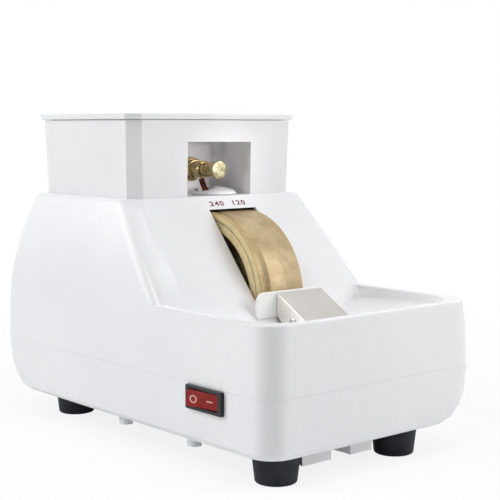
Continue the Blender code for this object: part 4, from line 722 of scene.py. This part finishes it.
# The rocker is drawn level about its pivot and then turned, with its rear end out
def makeRocker(turn, look):
    halfLength, halfHeight = look["rockerHalf"]
    valley, wing, depth, root = look["valley"], look["wing"], look["rockerDepth"], look["root"]
    outline = [(-valley, 0), (-wing, -halfLength), (depth - wing, -halfLength), (depth, -root), (depth, root),
               (depth - wing, halfLength), (-wing, halfLength)]
    rocker = bmesh.new()
    bottom = rocker.faces.new([rocker.verts.new((x, y, -halfHeight)) for x, y in outline])
    raised = bmesh.ops.extrude_face_region(rocker, geom=[bottom])["geom"]
    bmesh.ops.translate(rocker, vec=(0, 0, halfHeight * 2),
                        verts=[item for item in raised if isinstance(item, bmesh.types.BMVert)])
    bmesh.ops.recalc_face_normals(rocker, faces=rocker.faces)
    roundEdges(rocker, look["rockerRound"], look["segments"])
    bmesh.ops.transform(rocker, matrix=turn, verts=rocker.verts)
    makePiece("switchRocker", rocker, "switch_red", "rocker", "switch_rocker")


# The circle and the bar lie on the rocker's two slopes
def makeMarks(turn, look):
    rise, wide, radius = look["markRise"], look["markWidth"] / 2, look["circleRadius"]
    outline = [(-rise, radius - wide), (-rise, radius + wide), (rise, radius + wide), (rise, radius - wide)]
    circle = spinShape(outline, (1, 0, 0), (0, 0, 0), look["circleSteps"])
    bmesh.ops.scale(circle, vec=(1, look["circleStretch"], 1), verts=circle.verts)
    bar = blockShape((-rise, -look["barLength"] / 2, -wide), (rise, look["barLength"] / 2, wide))
    slope = math.atan2(look["valley"] - look["wing"], look["rockerHalf"][0])
    marks = (("circleMark", circle, look["circlePlace"]), ("barMark", bar, look["barPlace"]))
    for name, mark, place in marks:
        surface = abs(place) * math.tan(slope) - look["valley"]
        lean = Matrix.Rotation(-slope if place > 0 else slope, 4, "Z")
        put = turn @ Matrix.Translation((surface, place, 0)) @ lean
        bmesh.ops.transform(mark, matrix=put, verts=mark.verts)
        makePiece(name, mark, "switch_red", "rocker", finish="mark_pale", weighted=False)


def makeSwitch(look):
    low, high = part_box("switch_body")
    makeBezel(low, high, look)
    pivot = Vector((low.x + look["pivotDepth"], (low.y + high.y) / 2, (low.z + high.z) / 2))
    turn = Matrix.Translation(pivot) @ Matrix.Rotation(math.radians(look["restTurn"]), 4, "Z")
    makeRocker(turn, look)
    makeMarks(turn, look)


# Cable gland: a round flange with its thread behind it, and a ribbed dome
glandLook = {
    "wall": 0, "flange": 0.0090, "flangeLength": 0.0030, "dome": 0.0080, "domeLength": 0.0090,
    "thread": 0.0060, "threadLength": 0.0120, "threadDepth": 0.0005, "threadSlope": 0.0001, "pitch": 0.0012,
    "bore": 0.0035, "ribs": 24, "ribDepth": 0.00035, "ribLength": 0.0060, "ribBand": 0.0005, "steps": 96,
    "points": (
        ("wall", 0, "thread", -0.0003), ("wall", 0, "flange", -0.0005), ("wall", 0.0005, "flange", 0),
        ("domeStart", -0.0005, "flange", 0), ("domeStart", 0, "flange", -0.0005), ("domeStart", 0, "dome", 0),
        ("domeStart", 0.0045, "dome", 0), ("domeStart", 0.0060, "dome", -0.0003),
        ("domeStart", 0.0074, "dome", -0.0012), ("domeEnd", -0.0006, "thread", -0.0008),
        ("domeEnd", 0, "thread", -0.0014), ("domeEnd", 0, "bore", 0.0004), ("domeEnd", -0.0004, "bore", 0)),
}


def makeGland(look):
    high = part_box("cable_gland")[1]
    middle = middleOf("cable_gland")
    domeStart = look["flangeLength"]
    domeEnd = domeStart + look["domeLength"]
    centre = Vector((middle.x, high.y - look["flangeLength"] - look["domeLength"], middle.z))
    outline = [(-look["threadLength"], look["bore"])]
    for turn in range(int(look["threadLength"] / look["pitch"])):
        along = -look["threadLength"] + turn * look["pitch"]
        outline += [(along + look["threadSlope"], look["thread"] - look["threadDepth"]),
                    (along + look["pitch"] / 2, look["thread"])]
    outline += outlineOf(look["points"], {**look, "domeStart": domeStart, "domeEnd": domeEnd})
    gland = spinShape(outline, (0, 1, 0), centre, look["steps"])
    ribSteps = look["steps"] // look["ribs"]
    for vert in gland.verts:
        away = Vector((vert.co.x - centre.x, 0, vert.co.z - centre.z))
        along = vert.co.y - centre.y - domeStart
        onRibs = nearby < along < look["ribLength"] + nearby and away.length > look["dome"] - look["ribBand"]
        turn = math.atan2(away.z, away.x) / math.tau * look["steps"]
        if onRibs and round(turn) % ribSteps >= ribSteps // 2:
            vert.co -= away.normalized() * look["ribDepth"]
    makePiece("cableGland", gland, "black_plastic", "housing", "cable_gland", weighted=False)


# Drain spigot: a barbed tube under the wheel chamber
drainLook = {
    "radius": 0.0050, "bore": 0.0036, "flange": 0.0080, "flangeLength": 0.0015, "steps": 64,
    "points": (
        ("bottom", 0, "bore", 0), ("bottom", 0, "radius", -0.0007), ("bottom", 0.0022, "radius", 0),
        ("bottom", 0.0024, "radius", -0.0005), ("bottom", 0.0046, "radius", 0),
        ("bottom", 0.0048, "radius", -0.0005), ("flangeBottom", -0.0020, "radius", -0.0003),
        ("flangeBottom", 0, "radius", 0), ("flangeBottom", 0, "flange", -0.0002),
        ("flangeBottom", 0.0003, "flange", 0), ("top", -0.0002, "flange", 0), ("top", 0, "flange", -0.0003),
        ("top", 0, "bore", 0)),
}


def makeDrain(look):
    low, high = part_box("drain_spigot")
    outline = outlineOf(look["points"], {
        **look, "bottom": low.z, "flangeBottom": high.z - look["flangeLength"], "top": high.z})
    drain = spinShape(outline, (0, 0, 1), middleAt("drain_spigot", 0), look["steps"])
    makePiece("drainSpigot", drain, "black_plastic", "housing", "drain_spigot", weighted=False)


# Generic numerals printed on the sloping panel above the slot
numeralLook = {"words": ("240", "120"), "places": (-0.0007, 0.0171), "size": 0.0050, "baseHeight": 0.1411,
               "spacing": 1.2, "stretch": 1.35, "weight": 0.00014, "rise": 0.00003, "weld": 0.0000001,
               "slopeAngle": 50.2, "slopeTop": (0.00255, 0.147)}


def makeNumerals(look):
    angle = math.radians(look["slopeAngle"])
    topY, topZ = look["slopeTop"]
    baseY = topY - (topZ - look["baseHeight"]) / math.tan(angle)
    out = Vector((0, -math.sin(angle), math.cos(angle)))
    for number, (word, across) in enumerate(zip(look["words"], look["places"])):
        text = bpy.data.curves.new("numeralText", "FONT")
        text.body = word
        text.size = look["size"]
        text.space_character = look["spacing"]
        text.offset = look["weight"]
        text.align_x = "CENTER"
        text.extrude = look["rise"] / 2
        numeral = curveShape(text, look["weld"])
        bmesh.ops.scale(numeral, vec=(look["stretch"], 1, 1), verts=numeral.verts)
        place = Matrix.Translation(Vector((across, baseY, look["baseHeight"])) + out * look["rise"])
        bmesh.ops.transform(numeral, matrix=place @ Matrix.Rotation(angle, 4, "X"), verts=numeral.verts)
        makePiece(f"numeral{number + 1}", numeral, "housing_white", "housing", finish="numeral_red",
                  weighted=False)


makeCasing(casingLook)
makeTank(tankLook)
print("casing and tank made")
makeFeet(footLook)
makeScrews(screwLook)
makePlates(plateLook)
makeCover(coverLook)
print("feet, screws and plates made")
makeWheel(wheelLook)
makeValve(valveLook)
makeKnob(knobLook)
makeSpout(spoutLook)
makeCollar(collarLook)
makeSwitch(switchLook)
makeGland(glandLook)
makeDrain(drainLook)
makeNumerals(numeralLook)
print("wheel, valve, switch and small pieces made")

# CAD nodes whose shape stays take their record slot's finish
for part in frame["record"]["subparts"]:
    node = frame["nodes"][part["node"]]
    if not node.hide_render:
        node.data.materials.clear()
        node.data.materials.append(finishes[part["material_slot"]])
print("other pieces finished")


# Floor and backdrop, which show white to the camera and keep the shadow near the machine
stageLook = {"floorColour": (0.90, 0.90, 0.90), "floorRoughness": 0.8, "floorWhite": (0.84, 1.0),
             "floorFade": (0.2, 0.6), "floorSize": 6.0, "worldColour": (0.95, 0.97, 1.0), "worldLevel": 0.03}


# One for the rays of the named kinds, and zero for the others
def rayShare(tree, *kinds):
    path = addNode(tree, "ShaderNodeLightPath")
    share = path.outputs[kinds[0]]
    for kind in kinds[1:]:
        either = addNode(tree, "ShaderNodeMath", operation="MAXIMUM")
        tree.links.new(share, either.inputs[0])
        tree.links.new(path.outputs[kind], either.inputs[1])
        share = either.outputs[0]
    return share


# Shows a plain shader or a white one, by a share, at the tree's output
def mixWhite(tree, share, plain, white, output):
    mix = addNode(tree, "ShaderNodeMixShader")
    tree.links.new(share, mix.inputs["Fac"])
    tree.links.new(plain.outputs[0], mix.inputs[1])
    tree.links.new(white.outputs[0], mix.inputs[2])
    tree.links.new(mix.outputs["Shader"], tree.nodes[output].inputs["Surface"])


def makeFloor(look):
    material = bpy.data.materials.new("floorPaper")
    material.use_nodes = True
    tree = material.node_tree
    link = tree.links.new
    shader = tree.nodes["Principled BSDF"]
    shader.inputs["Roughness"].default_value = look["floorRoughness"]
    shader.inputs["Base Color"].default_value = (*look["floorColour"], 1)
    seen = rayShare(tree, "Is Camera Ray", "Is Transmission Ray")
    place = addNode(tree, "ShaderNodeTexCoord")
    away = addNode(tree, "ShaderNodeVectorMath", operation="LENGTH")
    link(place.outputs["Object"], away.inputs[0])
    near, far = look["floorFade"]
    least, most = look["floorWhite"]
    fade = addNode(tree, "ShaderNodeMapRange", {
        "From Min": near, "From Max": far, "To Min": least, "To Max": most})
    link(away.outputs["Value"], fade.inputs["Value"])
    share = addNode(tree, "ShaderNodeMath", operation="MULTIPLY")
    link(seen, share.inputs[0])
    link(fade.outputs["Result"], share.inputs[1])
    glow = addNode(tree, "ShaderNodeEmission", {"Color": (1, 1, 1, 1), "Strength": 1.0})
    mixWhite(tree, share.outputs[0], shader, glow, "Material Output")

    floor = bmesh.new()
    bmesh.ops.create_grid(floor, x_segments=2, y_segments=2, size=look["floorSize"])
    piece = looseObject("studioFloor", floor)
    piece.data.materials.append(material)


def makeBackdrop(look):
    world = bpy.data.worlds.new("studioWorld")
    bpy.context.scene.world = world
    world.use_nodes = True
    tree = world.node_tree
    plain = tree.nodes["Background"]
    plain.inputs["Color"].default_value = (*look["worldColour"], 1)
    plain.inputs["Strength"].default_value = look["worldLevel"]
    white = addNode(tree, "ShaderNodeBackground", {"Color": (1, 1, 1, 1), "Strength": 1.0})
    seen = rayShare(tree, "Is Camera Ray", "Is Glossy Ray", "Is Transmission Ray")
    mixWhite(tree, seen, plain, white, "World Output")


# Soft boxes at the left rear and the right front, so that the near corner is the darkest side, one above, and
# a small one whose glint shows at the slope's left edge
lampLooks = {
    "leftRear": {"place": (-1.25, 0.95, 1.00), "size": 1.3, "power": 19.2, "colour": (1.0, 1.0, 1.0)},
    "rightFront": {"place": (0.75, -0.85, 0.60), "size": 0.8, "power": 8.5, "colour": (0.99, 0.98, 0.985)},
    "above": {"place": (0.1, -0.1, 1.8), "size": 1.6, "power": 15.5, "colour": (1.0, 1.0, 1.0)},
    "slopeGlint": {"place": (-1.0, -0.25, 1.13), "size": 0.16, "power": 3.0, "colour": (1.0, 1.0, 1.0)},
}
lampAim = (0, 0, 0.09)


def placeLamp(lamp, power, colour, place, aim):
    lamp.energy = power
    lamp.color = colour
    holder = addObject(lamp.name, lamp)
    holder.location = place
    holder.rotation_euler = (Vector(aim) - Vector(place)).to_track_quat("-Z", "Y").to_euler()


def makeLamps(looks):
    for name, look in looks.items():
        lamp = bpy.data.lights.new(name, "AREA")
        lamp.size = look["size"]
        placeLamp(lamp, look["power"], look["colour"], look["place"], lampAim)


# Narrow spotlights that fill the recess round the valve
spotLook = {"aim": (0.008, 0.020, 0.161), "cone": 3.6, "blend": 1.0, "radius": 0.02,
            "colour": (1.0, 0.95, 0.90), "powers": (14.0, 3.0, 5.0),
            "places": ((0.27, -0.92, 0.24), (-0.72, -0.58, 0.36), (0.36, -0.62, 0.70))}


def makeSpots(look):
    for number, (place, power) in enumerate(zip(look["places"], look["powers"])):
        lamp = bpy.data.lights.new(f"recessSpot{number + 1}", "SPOT")
        lamp.spot_size = math.radians(look["cone"])
        lamp.spot_blend = look["blend"]
        lamp.shadow_soft_size = look["radius"]
        placeLamp(lamp, power, look["colour"], place, look["aim"])


# Camera, fitted to the straight edges of the casing and the tank
cameraLook = {"place": (-0.483805, -0.59965, 0.1915), "turn": (84.15, 0, -40.5), "lens": 87.12, "sensor": 36,
              "nearest": 0.01}


def makeCamera(look):
    lens = bpy.data.cameras.new("photoCamera")
    lens.lens = look["lens"]
    lens.sensor_width = look["sensor"]
    lens.clip_start = look["nearest"]
    holder = addObject("photoCamera", lens)
    holder.location = look["place"]
    holder.rotation_euler = [math.radians(angle) for angle in look["turn"]]
    bpy.context.scene.camera = holder


makeFloor(stageLook)
makeBackdrop(stageLook)
makeLamps(lampLooks)
makeSpots(spotLook)
makeCamera(cameraLook)
bpy.context.scene.view_settings.view_transform = "Standard"
print("stage, lamps and camera placed")
